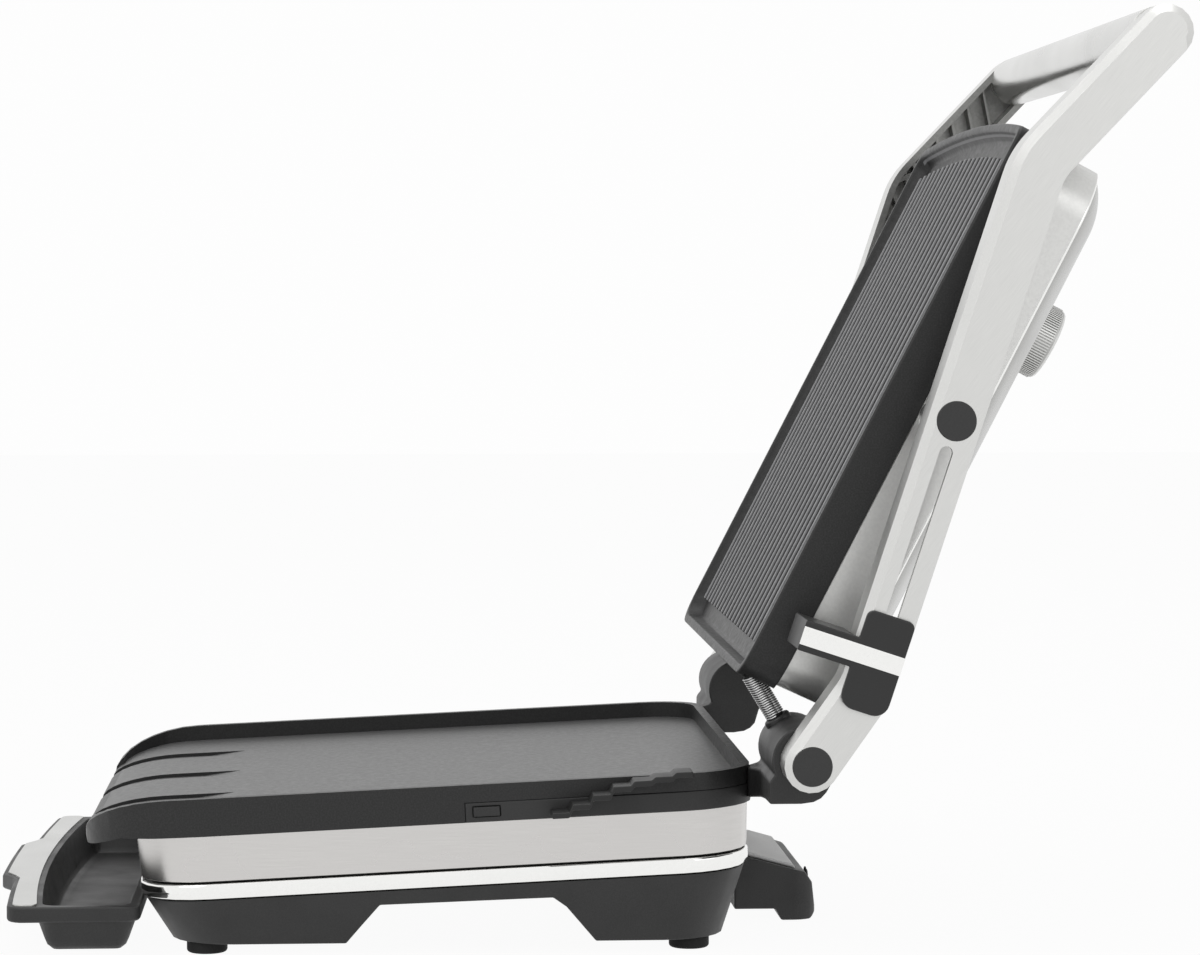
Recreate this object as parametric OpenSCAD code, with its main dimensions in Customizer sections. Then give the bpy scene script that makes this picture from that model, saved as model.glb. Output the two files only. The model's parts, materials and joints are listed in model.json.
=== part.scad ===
/* [Griddle plate] */
// Width of the griddle plate across the object
plate_w = 280; // [240:1:320]
// Depth of the base from its front face to its rear face
base_d = 259; // [220:1:300]
// How far the drip lip reaches in front of the base
lip_reach = 20.5; // [14:0.5:28]
// Height of the black side wall
wall_h = 15.5; // [13:0.5:20]
// Depth of the cooking floor below the rim
floor_drop = 7; // [5:0.5:8]
// Thickness of the rim wall round the floor
rim_t = 4; // [3:0.5:6]
// Thickness of the floor
floor_t = 4.5; // [3:0.5:5]
// Plan radius of the rear corners
rear_corner_r = 28; // [18:1:36]
// Plan radius of the front corners
front_corner_r = 42; // [30:1:50]
// Number of drain channels on the lip
channel_count = 3; // [1:1:5]
// Width of a drain channel
channel_w = 16; // [8:1:24]
// Depth of a drain channel
channel_depth = 1.5; // [0.5:0.5:2]

/* [Base] */
// Height of the rim above the counter at the middle of the base
rim_z = 72; // [66:0.5:80]
// Forward slope of the base in degrees
base_tilt = 2.6; // [1.5:0.1:3]
// Height of the stainless skirt
skirt_h = 19.1; // [15:0.1:24]
// Height of the groove between skirt and band
groove_h = 0.8; // [0.6:0.1:1.4]
// Height of the bright band
band_h = 7.2; // [5:0.1:8.5]
// Thickness of the skirt's sheet
skirt_t = 1.2; // [0.8:0.1:2]
// Plan radius of the base corners
base_corner_r = 30; // [22:1:36]
// Inset of the skirt from the wall above it
skirt_inset = 1.2; // [0.6:0.1:2]
// Height of the pods' underside above the counter
pod_z = 5; // [4:0.5:6]
// Radius of a rubber foot
foot_r = 8.5; // [6:0.5:10]
// Distance of a foot's middle inside the griddle plate's side
foot_in = 28; // [24:1:40]
// Place of the front feet
foot_front_y = -98; // [-100:1:-90]
// Place of the rear feet
foot_rear_y = 104; // [96:1:106]
// Wall of the moulded tub
tub_t = 3; // [2:0.5:4]

/* [Rear housing] */
// Width of the rear housing
housing_w = 96; // [80:1:110]
// Length of the rear housing behind the tub
housing_len = 36.5; // [32:0.5:37]
// Height of the housing's top where it meets the tub
housing_top_z = 29.5; // [27:0.5:30]
// Height of the housing's top at its rear edge
housing_rear_z = 21; // [18:0.5:22]
// Thickness of the light top cover
housing_cover_t = 2; // [1.5:0.5:2.5]
// Outer radius of the cord gland
gland_r = 6; // [5:0.5:7]
// Radius of the cord's hole in the gland
gland_bore_r = 3.6; // [3:0.1:4.2]

/* [Height rack and button] */
// How far the rack's ledge stands out of the wall
rack_depth = 14.5; // [10:0.5:14.8]
// Thickness of the rack's stepped ledge
rack_t = 2.4; // [2:0.1:3.5]
// Distance from one tread to the next
tread_pitch = 8.6; // [7:0.1:9]
// Front end of the rack
rack_front_y = 43; // [38:1:46]
// Length of the release button
button_len = 11; // [8:0.5:14]
// Height of the release button
button_h = 4; // [3:0.5:4.5]
// Travel of the release button
button_travel = 3; // [1.5:0.5:3]

/* [Hinge and arms] */
// Place of the hinge axis behind the middle of the base
hinge_y = 147; // [146:0.5:149]
// Height of the hinge axis
hinge_z = 85; // [83:0.5:87]
// Radius of the bracket's knuckle
knuckle_r = 14; // [12:0.5:14.2]
// Radius of the hinge and pivot pins
pin_r = 4.5; // [3.5:0.1:5]
// Radial running clearance of a pin
pin_clear = 0.05; // [0.03:0.01:0.1]
// Space between the griddle plate's side and an arm
arm_side_gap = 30; // [24:1:34]
// Depth of an arm across the object
arm_depth = 20; // [16:1:24]
// Width of an arm in side view
arm_w = 22; // [20:1:26]
// Wall of an arm's channel
arm_wall = 3; // [2.5:0.5:4]
// Width of the bevel on an arm's front edge
arm_bevel = 3.3; // [1.5:0.1:4]
// Length of the arm from the hinge to the lower bend
arm_low_len = 38; // [34:1:44]
// Angle of the lower stretch
arm_low_angle = 54.6; // [50:0.1:60]
// Length of the arm between its bends
arm_mid_len = 222; // [210:1:235]
// Angle of the middle stretch
arm_mid_angle = 71.7; // [68:0.1:75]
// Length of the arm from the upper bend to the handle
arm_top_len = 73; // [66:1:85]
// Angle of the upper stretch
arm_top_angle = 46.2; // [40:0.1:52]
// Distance of the floating pivot above the lower bend
pivot_up = 113.3; // [108:0.1:118]
// Radius of the black caps
cap_r = 8; // [7:0.5:8.5]
// Radius of the handle bar
handle_r = 11.5; // [10:0.5:12]
// Width of the dark strip in the handle
insert_w = 6; // [4:0.5:8]

/* [Height slider] */
// Width of the slot in the right arm
slot_w = 5.4; // [4.5:0.1:6]
// Travel of the slider along the arm
slider_travel = 72; // [50:1:74]
// Place of the slider above the lower bend
slider_up = 13; // [12.5:0.1:14]
// Reach of the slider's leg in front of the arm's middle line
leg_reach = 32.5; // [28:0.5:34]
// Width of the slider's middle bar
leg_w = 12.5; // [11:0.5:14]
// Width of the bright band on the slider
slider_band_w = 7.5; // [6:0.5:9]
// Length of the upper pad
pad_top_len = 12; // [9:0.5:14]
// Length of the lower pad
pad_low_len = 16; // [12:0.5:18]

/* [Lid] */
// Depth of the lid from rear to front edge
lid_d = 256; // [245:1:262]
// Angle of the open lid
lid_angle = 62.7; // [60:0.1:66]
// Height of the ribbed plate's wall
lid_wall_h = 16.7; // [14:0.1:18]
// Height of the silver housing
lid_case_h = 23.5; // [21:0.5:26]
// Rise of the domed cover
dome_h = 19; // [14:0.5:22]
// Bulge of the lid's front edge
front_bulge = 8; // [4:0.5:10]
// Number of ribs on the lid's plate
rib_count = 27; // [21:2:31]
// Height of a rib
rib_h = 3.6; // [2:0.1:4]
// Depth of the ribbed floor below the lid's rim
rib_floor = 6.5; // [5:0.5:8]
// Length of the flat strip at each end of the ribs
strip_len = 14; // [8:1:20]
// Radius of the dial knob
dial_r = 17; // [14:0.5:20]
// Height of the dial knob
dial_h = 15.5; // [12:0.5:16]
// Distance of the dial in front of the floating pivot
dial_fore = 57.5; // [40:0.5:66]
// Number of grips round the dial
dial_grips = 40; // [24:2:48]

/* [Drip tray] */
// Distance of the tray's end inside the griddle plate's side
tray_in = 2; // [0:1:12]
// Width of the tray from rear to front
tray_w = 55; // [50:0.5:60]
// Height of the tray
tray_h = 23.2; // [20:0.1:23.2]
// Thickness of the tray's rim
tray_rim_h = 6.5; // [5:0.5:8]
// Width of the ledge that carries the trim
tray_ledge = 15; // [12:0.5:17]
// Bulge of the tray's front edge
tray_bulge = 4.5; // [2:0.5:7]
// Reach of the tray's handle tab
tab_reach = 6; // [4:0.5:9]
// Half length of the tray's handle tab
tab_half = 50; // [35:1:60]

/* [Conduit] */
// Outer radius of the spring sleeve
conduit_r = 4.5; // [3.8:0.1:5]
// Radius of the sleeve's wire
wire_r = 0.4; // [0.3:0.05:0.45]
// Distance from one turn to the next
wire_pitch = 1.25; // [1.25:0.05:1.6]
// Distance of the conduit inside the griddle plate's side
conduit_in = 14; // [11:1:20]

/* [Hidden] */

// How far a cut passes beyond what it cuts
overrun = 1;
// Running gap between pieces that pass each other
gap = 0.4;
// Small clearance of a piece in its seat
seat_clear = 0.1;
// Fineness of true round faces
round_fn = 48;
// Segments in each corner of an outline
corner_n = 6;
// Segments in each long curve
curve_n = 8;
// Segments in each round end of an arm, an odd number so that its points stand in pairs
end_n = 9;

// Derived places across the object
foot_x = plate_w / 2 - foot_in;
arm_in_x = plate_w / 2 + arm_side_gap;
tray_half = plate_w / 2 - tray_in;
conduit_x = plate_w / 2 - conduit_in;

// Derived places in the side view, as [y, z]
hinge = [hinge_y, hinge_z];
bend_low = polar_from(hinge, arm_low_len, arm_low_angle);
bend_top = polar_from(bend_low, arm_mid_len, arm_mid_angle);
handle_at = polar_from(bend_top, arm_top_len, arm_top_angle);
pivot_at = polar_from(bend_low, pivot_up, arm_mid_angle);
slider_at = polar_from(bend_low, slider_up, arm_mid_angle);
arm_out_x = arm_in_x + arm_depth;

// The floating pivot in the lid's own frame: distance from the rear edge and height above the rim
pivot_fore = 4.5;
pivot_along = lid_d / 2 + pivot_fore;
dial_along = pivot_along + dial_fore;
pivot_n = 24.6;
lid_rear = polar_from(
    polar_from(pivot_at, -pivot_along, lid_angle), -pivot_n, lid_angle - 90
);

// The tray's rear edge lies this far behind the base's front face, under the band
tray_seat = 5;
tray_rear_y = -base_d / 2 + tray_seat;

// The whole object reaches from the tray's tab to the handle
front_y = tray_rear_y - tray_w - tray_bulge - tab_reach;
rear_y = handle_at[0] + handle_r;
origin_y = (front_y + rear_y) / 2;
band_inset = 1.8;
band_round = 3;
band_lift = 1.6;
flange_inset = 4.2;
tub_inset = 8;
heater_inset = tub_inset + tub_t;
tub_top_inset = 3.6;
tub_side_draft = 10;
tub_front_draft = 13;
tub_rear_draft = 7;
tunnel_half = 76;
belly_z = 17;
arch_front_y = -40;
arch_rear_y = 64;
arch_slope = 14;
arch_top_z = 22;
foot_h = pod_z;

bezel_t = 6;
bezel_gap = 0.3;
bezel_top = floor_drop + bezel_gap;
seam_y = 8.5;
lip_drop = 16;
lip_start = 38;
lip_tip_r = 2.4;
lip_floor_drop = 9.5;
lip_floor_start = 32;
lip_open_half = plate_w / 2 - front_corner_r;
channel_len = 62;
channel_span_share = 0.77;
channel_pitch = (plate_w - 2 * front_corner_r) * channel_span_share / max(channel_count - 1, 1);

skirt_w0 = -wall_h;
skirt_w1 = skirt_w0 - skirt_h;
band_w0 = skirt_w1 - groove_h;
band_w1 = band_w0 - band_h;

element_r = 3.3;
element_bend_r = 22;
element_len = 150;
shield_t = 1;
screw_r = 3.5;
screw_h = 2;

pin_reach = 20;
pin_inner_x = arm_in_x - pin_reach;
pin_end_gap = 2.4;
bracket_w = 51;
bracket_in_x = arm_in_x - bracket_w;
boss_r = 9;
boss_in = 0.5;
cap_seat = 1.6;
cap_proud = 0.5;
rib_t = 2;
arm_rib_pitch = 22;
bend_r = 30;

lid_case_inset = 1;
lid_case_t = 2;
lid_case_rear = 3;
lid_boss_r = 7.4;
lid_boss_len = 12;
cover_inset = 3;
cover_t = 1.2;
cover_lip = 0.6;
dome_end = 20;
lid_corner_r = 24;
thermostat_r = 12;
thermostat_h = 10;
shaft_r = 3;
bezel_ring_h = 2.4;
bezel_ring_grow = 2.5;
dial_lift = 1.2;
grip_depth = 0.7;

arm_face_gap = 0.35;
slider_skin = 3.2;
pad_half = 10;
pad_low_r = 6;
pad_top_r = 3;
band_t = 0.6;
stem_len = 25;

tray_corner_r = 13;
tray_wall = 2.2;
tray_draft = 9;
trim_t = 0.8;
trim_edge = 2.4;

// Release button in its pocket, with room behind it for its travel
button_back = 3.5;
button_up = 2.2;
button_y = seam_y + button_back;
button_w = -wall_h + button_up;
button_proud = 0.8;
button_in = 1;
plate_body_inset = bezel_t + button_in + button_travel + gap;

// Rise of each tread of the rack above the lowest, as shares of the whole rise
rack_rise = 14;
rise_shares = [0, 0.22, 0.46, 0.68, 0.81, 0.9, 1];
rack_low = 11.6;
tread_r = 1.6;

// Bracket's root on the bezel
root_h = 7;
root_lift = 1;
root_gap = 0.6;
neck_gap = 3;
neck_drop = 2;

// The slider's stem and the slot that guides it
stem_low = 8;
slot_end = 0.65;
slot_low = slider_up - stem_low - slot_end;
slot_len = slider_travel + stem_len + 2 * slot_end;

cover_rows = 16;
cover_cols = 16;
dome_power = 1.3;
dial_base_n = lid_wall_h + lid_case_h + cover_lip + dome_h;
rib_foot_share = 0.4;
rib_top_share = 0.15;
element_loops = 3;

// The conduit rises from a boss on the right bracket to a notch in the lid's rear edge
conduit_lean = 31;
conduit_fore = 4.8;
conduit_rise = 8.4;
conduit_foot = [hinge_y - conduit_fore, hinge_z + conduit_rise];
conduit_base = 6;
conduit_len = 21;
boss_wall = 0.8;
conduit_boss_r = conduit_r + boss_wall;
conduit_seat = 6;
conduit_notch = 3;
notch_clear = 1;
conduit_turns = floor((conduit_len - 2 * wire_r) / wire_pitch);
rings_per_turn = 8;
wire_sides = 6;
coil_r = conduit_r - wire_r;
// The liner clears the straight chords of the wire's turns
liner_r = coil_r * cos(180 / rings_per_turn) - wire_r - seat_clear;

// A point at a distance and an angle from another, in the side view
function polar_from(p, len, angle) = [p[0] + len * cos(angle), p[1] + len * sin(angle)];

// Arc of n steps round a centre
function arc(c, r, a0, a1, n) =
    [for (i = [0:n]) [c[0] + r * cos(a0 + (a1 - a0) * i / n), c[1] + r * sin(a0 + (a1 - a0) * i / n)]];

// Rounded rectangle between two depths, anticlockwise, with its own radius at each end
function slab_outline(half, y0, y1, r0, r1, n = corner_n) = concat(
    arc([half - r1, y1 - r1], r1, 0, 90, n),
    arc([-half + r1, y1 - r1], r1, 90, 180, n),
    arc([-half + r0, y0 + r0], r0, 180, 270, n),
    arc([half - r0, y0 + r0], r0, 270, 360, n)
);

// Outline of the base, drawn in by an inset
function base_outline(inset, front = 0, rear = 0) = slab_outline(
    plate_w / 2 - inset,
    -base_d / 2 + inset + front,
    base_d / 2 - inset - rear,
    base_corner_r - inset / 2,
    base_corner_r - inset / 2
);

// A flat outline raised to a height
function at_height(outline, w) = [for (p = outline) [p[0], p[1], w]];

// From the sloping frame of the base to the upright frame
function base_point(p) = [
    p[0],
    p[1] * cos(base_tilt) - p[2] * sin(base_tilt),
    rim_z + p[1] * sin(base_tilt) + p[2] * cos(base_tilt)
];

module on_base() {
    translate([0, 0, rim_z])
        rotate([base_tilt, 0, 0])
            children();
}

// The lid is drawn closed, rim down, rear edge at the origin, and set open here
module on_lid() {
    translate([0, lid_rear[0], lid_rear[1]])
        rotate([lid_angle + 180, 0, 0])
            children();
}

// Extrudes a side view, drawn as [y, z], across the object
module across(x0, x1) {
    translate([x0, 0, 0])
        rotate([90, 0, 90])
            linear_extrude(x1 - x0)
                children();
}

// A rod across the object at a place of the side view
module rod(x0, x1, p, r) {
    translate([x0, p[0], p[1]])
        rotate([0, 90, 0])
            cylinder(h = x1 - x0, r = r, $fn = round_fn);
}

// End face of a loft, in strips from side to side, so that a bent outline is covered without folds
function strips(n, start) = [for (k = [0:ceil(n / 2) - 2]) let (
    a = (start + k) % n,
    b = (start + k + 1) % n,
    c = (start + 2 * n - 2 - k) % n,
    d = (start + 2 * n - 1 - k) % n
) b == c ? [a, b, d] : [a, b, c, d]];

// Solid through a stack of outlines with the same number of points; start is where the strips begin
module loft(rings, start = 0) {
    n = len(rings[0]);
    last = len(rings) - 1;
    points = [for (ring = rings) for (p = ring) p];
    ends = strips(n, start);
    sides = [for (k = [0:last - 1]) for (i = [0:n - 1]) for (half = [0, 1])
        half == 0
            ? [k * n + i, (k + 1) * n + i, (k + 1) * n + (i + 1) % n]
            : [k * n + i, (k + 1) * n + (i + 1) % n, k * n + (i + 1) % n]];
    top = [for (f = ends) [for (i = [len(f) - 1:-1:0]) last * n + f[i]]];
    polyhedron(points = points, faces = concat(ends, sides, top));
}

// Puts the object's origin under the middle of its outline
module placed() {
    translate([0, -origin_y, 0])
        children();
}

// Side view of the griddle's outer form, with the drip lip at the front
function griddle_side() = let (tip_y = -base_d / 2 - lip_reach) concat(
    [[base_d / 2, -wall_h], [base_d / 2, 0]],
    [for (i = [0:curve_n]) [
        tip_y + lip_start * (1 - sin(i * 90 / curve_n)),
        -lip_drop * (1 - cos(i * 90 / curve_n))
    ]],
    arc([tip_y + lip_tip_r, -lip_drop - lip_tip_r / 2], lip_tip_r, 180, 300, 4),
    [[-base_d / 2 - rim_t, -wall_h]]
);

// Side view of the space over the cooking floor
function floor_side() = let (tip_y = -base_d / 2 - lip_reach) concat(
    [[base_d / 2 + overrun, overrun], [base_d / 2 + overrun, -floor_drop]],
    [for (i = [0:curve_n]) [
        tip_y - overrun / 4 + lip_floor_start * (1 - sin(i * 90 / curve_n)),
        -floor_drop - lip_floor_drop * (1 - cos(i * 90 / curve_n))
    ]],
    [[tip_y - overrun, -floor_drop - lip_floor_drop], [tip_y - overrun, overrun]]
);

module griddle_outer(inset, w0, w1) {
    translate([0, 0, w0])
        linear_extrude(w1 - w0)
            polygon(slab_outline(
                plate_w / 2 - inset,
                -base_d / 2 - lip_reach + inset,
                base_d / 2 - inset,
                front_corner_r - inset,
                rear_corner_r - inset
            ));
}

module griddle_plate() {
    color("#3b3b3b")
        placed() on_base() {
            difference() {
                intersection() {
                    griddle_outer(0, -wall_h - 2 * lip_tip_r - overrun, overrun);
                    across(-plate_w / 2 - overrun, plate_w / 2 + overrun)
                        polygon(griddle_side());
                }
                // Space over the floor, open at the front between the corners
                intersection() {
                    union() {
                        griddle_outer(rim_t, -wall_h - overrun, overrun);
                        translate([-lip_open_half, -base_d / 2 - lip_reach - overrun, -wall_h - lip_drop])
                            cube([2 * lip_open_half, lip_reach + rim_t, wall_h + lip_drop + overrun]);
                    }
                    across(-plate_w / 2, plate_w / 2)
                        polygon(floor_side());
                }
                // Drain channels down the lip
                for (i = [0:channel_count - 1])
                    translate([(i - (channel_count - 1) / 2) * channel_pitch, -base_d / 2, 0])
                        griddle_channel();
                // Hollow under the floor, and the room for the bezel behind the seam
                griddle_underside();
            }
        }
}

// A shallow trough that follows the floor and the lip
module griddle_channel() {
    across(-channel_w / 2, channel_w / 2)
        polygon(concat(
            [[channel_len - lip_reach, -floor_drop + overrun], [channel_len - lip_reach, -floor_drop]],
            [[channel_len - lip_reach - channel_w, -floor_drop - channel_depth]],
            [for (i = [0:curve_n]) [
                -lip_reach - overrun / 4 + lip_floor_start * (1 - sin(i * 90 / curve_n)),
                -floor_drop - channel_depth - lip_floor_drop * (1 - cos(i * 90 / curve_n))
            ]],
            [[-lip_reach - overrun, -floor_drop - lip_floor_drop + overrun]],
            [[-lip_reach - overrun, -floor_drop + overrun]]
        ));
}

module griddle_underside() {
    // Behind the seam the wall is shallow and the bezel stands under it
    difference() {
        translate([-plate_w / 2 - overrun, seam_y, -wall_h - overrun])
            cube([plate_w + 2 * overrun, base_d / 2 - seam_y + overrun, wall_h + overrun - bezel_top]);
        griddle_outer(plate_body_inset, -floor_drop - floor_t, 0);
    }
    // Ahead of the seam the wall is deep and hollow inside
    intersection() {
        griddle_outer(plate_body_inset, -wall_h - overrun, -floor_drop - floor_t);
        translate([-plate_w / 2, -base_d / 2 + rim_t, -wall_h - overrun])
            cube([plate_w, base_d / 2 + seam_y - rim_t + overrun, wall_h]);
    }
}

module base_bezel() {
    color("#353535")
        placed() on_base()
            difference() {
                griddle_outer(0, -wall_h, -bezel_top - seat_clear);
                griddle_outer(bezel_t, -wall_h - overrun, 0);
                translate([-plate_w, -base_d, -wall_h - overrun])
                    cube([2 * plate_w, base_d + seam_y + seat_clear, wall_h + overrun]);
                translate([plate_w / 2 - bezel_t - overrun, button_y - seat_clear, button_w - seat_clear])
                    cube([
                        bezel_t + 2 * overrun,
                        button_len + 2 * seat_clear,
                        button_h + 2 * seat_clear
                    ]);
            }
}

module release_button() {
    color("#303030")
        placed() on_base()
            translate([plate_w / 2 - bezel_t - button_in, button_y, button_w])
                cube([bezel_t + button_in + button_proud, button_len, button_h]);
}

function rack_steps(lift) = [for (i = [0:len(rise_shares) - 1]) for (k = [0, 1])
    [
        rack_front_y + (i + k) * tread_pitch - (k == 0 ? tread_r / 2 : tread_r * 1.5) + tread_r,
        -rack_low + rack_rise * rise_shares[i] - lift
    ]];

module height_rack() {
    steps_top = rack_steps(0);
    steps_low = rack_steps(rack_t);
    n = len(steps_low);
    color("#333333")
        placed() on_base()
            across(plate_w / 2, plate_w / 2 + rack_depth)
                polygon(concat(steps_top, [for (i = [0:n - 1]) steps_low[n - 1 - i]]));
}

module steel_skirt() {
    color("#c9c7c5")
        placed() on_base()
            difference() {
                loft([
                    at_height(base_outline(skirt_inset * 2), skirt_w1),
                    at_height(base_outline(skirt_inset), skirt_w0)
                ]);
                loft([
                    at_height(base_outline(skirt_inset * 2 + skirt_t), skirt_w1 - overrun),
                    at_height(base_outline(skirt_inset + skirt_t), skirt_w0 + overrun)
                ]);
            }
}

module chrome_band() {
    color("#ececea")
        placed() on_base()
            difference() {
                loft([
                    at_height(base_outline(band_inset + band_round), band_w1),
                    at_height(base_outline(band_inset + band_round / 3), band_w1 + band_lift / 2),
                    at_height(base_outline(band_inset), band_w1 + band_lift * 2),
                    at_height(base_outline(band_inset), band_w0 - band_lift / 2),
                    at_height(base_outline(band_inset + band_round / 4), band_w0)
                ]);
                loft([
                    at_height(base_outline(tub_inset), band_w1 - overrun),
                    at_height(base_outline(tub_inset), band_w0 + overrun)
                ]);
            }
}

// Outline of the pods' underside, level with the counter
function pod_outline() = slab_outline(
    plate_w / 2 - tub_top_inset - tub_side_draft,
    -base_d / 2 + tub_top_inset + tub_front_draft,
    base_d / 2 - tub_top_inset - tub_rear_draft,
    base_corner_r - tub_top_inset,
    base_corner_r - tub_top_inset
);

// The arch between the front and rear pods, seen from the side
function arch_side() = [
    [arch_front_y, -overrun],
    [arch_front_y, pod_z],
    [arch_front_y + arch_slope, arch_top_z],
    [arch_rear_y - arch_slope * 1.3, arch_top_z + (arch_rear_y - arch_front_y) * sin(base_tilt) / 2],
    [arch_rear_y - arch_slope * 0.9, arch_top_z - arch_slope / 8],
    [arch_rear_y, pod_z],
    [arch_rear_y, -overrun]
];

module base_tub() {
    color("#363636")
        placed() {
            difference() {
                union() {
                    // Pods and belly
                    loft([
                        at_height(pod_outline(), pod_z),
                        [for (p = at_height(base_outline(tub_top_inset), band_w1)) base_point(p)]
                    ]);
                    on_base() {
                        // Core that the band and the skirt go round
                        loft([
                            at_height(base_outline(tub_inset), band_w1 - overrun),
                            at_height(base_outline(tub_inset), band_w0)
                        ]);
                        // Flange between band and skirt, and the wall inside the skirt
                        loft([
                            at_height(base_outline(flange_inset), band_w0),
                            at_height(base_outline(flange_inset), skirt_w0)
                        ]);
                    }
                    // Seat of the rear housing
                    translate([-housing_w / 2, base_d / 2 - 2 * tub_inset, belly_z])
                        cube([housing_w, 2 * tub_inset, housing_top_z - belly_z]);
                }
                // Heater space inside the upper wall
                on_base()
                    loft([
                        at_height(base_outline(heater_inset), band_w1 + tub_t),
                        at_height(base_outline(heater_inset), skirt_w0 + overrun)
                    ]);
                across(-plate_w, plate_w)
                    polygon(arch_side());
                translate([-tunnel_half, -base_d, -overrun])
                    cube([2 * tunnel_half, 2 * base_d, belly_z + overrun]);
            }
        }
}

module base_feet() {
    color("#2b2b2b")
        placed() {
            for (x = [-foot_x, foot_x])
                for (y = [foot_front_y, foot_rear_y])
                    translate([x, y, 0])
                        cylinder(h = foot_h, r = foot_r, $fn = round_fn);
        }
}

module base_screws() {
    color("#9a9a9a")
        placed()
            for (x = [-tunnel_half / 2, tunnel_half / 2])
                for (y = [foot_front_y, foot_rear_y - 2 * tub_inset])
                    translate([x, y, belly_z - screw_h])
                        cylinder(h = screw_h, r = screw_r, $fn = round_fn);
}

// A heating rod bent back and forth, drawn flat round the origin
module heater_loops(loops) {
    for (i = [0:loops])
        translate([(i - loops / 2) * 2 * element_bend_r, -element_len / 2, 0])
            rotate([-90, 0, 0])
                cylinder(h = element_len, r = element_r, $fn = round_fn);
    for (i = [0:loops - 1])
        translate([
            (i + 1 / 2 - loops / 2) * 2 * element_bend_r,
            (i % 2 == 0 ? 1 : -1) * element_len / 2,
            0
        ])
            rotate([0, 0, i % 2 == 0 ? 0 : 180])
                rotate_extrude(angle = 180, $fn = round_fn)
                    translate([element_bend_r, 0])
                        circle(r = element_r, $fn = round_fn / 2);
}

module lower_heating_element() {
    color("#6b6258")
        placed() on_base()
            translate([0, 0, -floor_drop - floor_t - element_r])
                heater_loops(element_loops);
}

module heat_shield() {
    shield_w = -floor_drop - floor_t - 2 * element_r - shield_t;
    color("#b9b9b9")
        placed() on_base()
            difference() {
                loft([
                    at_height(base_outline(heater_inset), shield_w - shield_t),
                    at_height(base_outline(heater_inset), shield_w + shield_t)
                ]);
                loft([
                    at_height(base_outline(heater_inset + shield_t), shield_w),
                    at_height(base_outline(heater_inset + shield_t), shield_w + 2 * shield_t)
                ]);
            }
}

// Side view of the rear housing, with its foot at the rear
function housing_side() = let (y0 = base_d / 2, y1 = base_d / 2 + housing_len) [
    [y0, pod_z],
    [y1 - housing_len / 2, pod_z],
    [y1 - housing_len / 2 + pod_z / 2, 0],
    [y1 - pod_z / 2, 0],
    [y1, pod_z / 2],
    [y1 - pod_z / 3, housing_rear_z - pod_z],
    [y1 - pod_z, housing_rear_z],
    [y0, housing_top_z]
];

module rear_housing() {
    color("#343434")
        placed()
            difference() {
                intersection() {
                    across(-housing_w / 2, housing_w / 2)
                        polygon(housing_side());
                    translate([0, 0, -overrun])
                        linear_extrude(housing_top_z + 2 * overrun)
                            polygon(slab_outline(
                                housing_w / 2,
                                base_d / 2 - pod_z,
                                base_d / 2 + housing_len,
                                pod_z,
                                2 * pod_z
                            ));
                }
                translate([0, base_d / 2 + housing_len / 2, housing_rear_z / 2])
                    rotate([-90, 0, 0])
                        cylinder(h = housing_len, r = gland_bore_r + pin_clear, $fn = round_fn);
            }
}

module rear_housing_cover() {
    y0 = base_d / 2;
    y1 = base_d / 2 + housing_len - pod_z;
    fall = (housing_top_z - housing_rear_z) / (y1 - y0);
    edge = 2 * housing_cover_t;
    low_z = housing_top_z - fall * (y1 - edge - y0);
    color("#b8b8b8")
        placed()
            across(-housing_w / 2 + edge, housing_w / 2 - edge)
                polygon([
                    [y0, housing_top_z],
                    [y1 - edge, low_z],
                    [y1 - edge - housing_cover_t / 2, low_z + housing_cover_t],
                    [y0, housing_top_z + housing_cover_t]
                ]);
}

module cord_gland() {
    gland_len = 2 * housing_cover_t;
    color("#262626")
        placed()
            translate([0, base_d / 2 + housing_len, housing_rear_z / 2])
                rotate([-90, 0, 0])
                    difference() {
                        union() {
                            cylinder(h = gland_len / 2, r = gland_r, $fn = round_fn);
                            cylinder(h = gland_len, r = gland_r * 0.8, $fn = round_fn);
                        }
                        translate([0, 0, -overrun])
                            cylinder(h = gland_len + 2 * overrun, r = gland_bore_r, $fn = round_fn);
                    }
}

// Bracket for the right side: knuckle round the hinge and a neck down to the bezel's rear wall
module bracket_form() {
    wall_y = base_point([0, base_d / 2, -wall_h])[1];
    wall_z = base_point([0, base_d / 2, -wall_h])[2];
    out_x = arm_in_x - gap;
    difference() {
        union() {
            rod(bracket_in_x, out_x, hinge, knuckle_r);
            // Root that is bolted to the bezel
            hull() {
                translate([plate_w / 2 - 2 * bezel_t, wall_y + neck_gap, wall_z + root_lift])
                    cube([out_x - plate_w / 2 + 2 * bezel_t - neck_gap, neck_gap, 2 * (root_h - root_lift)]);
                rod(
                    plate_w / 2,
                    out_x - neck_gap,
                    [hinge_y - neck_drop, hinge_z - neck_drop],
                    knuckle_r - neck_drop
                );
            }
            translate([bracket_in_x - bezel_t, wall_y + root_gap, wall_z + root_lift])
                cube([arm_in_x - bracket_in_x - bezel_t, neck_gap + root_gap, root_h + neck_gap]);
            children();
        }
        rod(pin_inner_x, arm_in_x + overrun, hinge, pin_r + pin_clear);
    }
}

// The right bracket also carries the boss that the conduit stands in
module hinge_bracket_right() {
    color("#333333")
        placed()
            bracket_form()
                on_conduit()
                    difference() {
                        translate([0, 0, -conduit_base / 2])
                            cylinder(
                                h = 3 * conduit_base / 2 + root_lift,
                                r = conduit_boss_r,
                                $fn = round_fn
                            );
                        translate([0, 0, conduit_base])
                            cylinder(h = conduit_base, r = conduit_r + seat_clear, $fn = round_fn);
                    }
}

module hinge_bracket_left() {
    color("#333333")
        placed()
            mirror([1, 0, 0])
                bracket_form();
}

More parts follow.
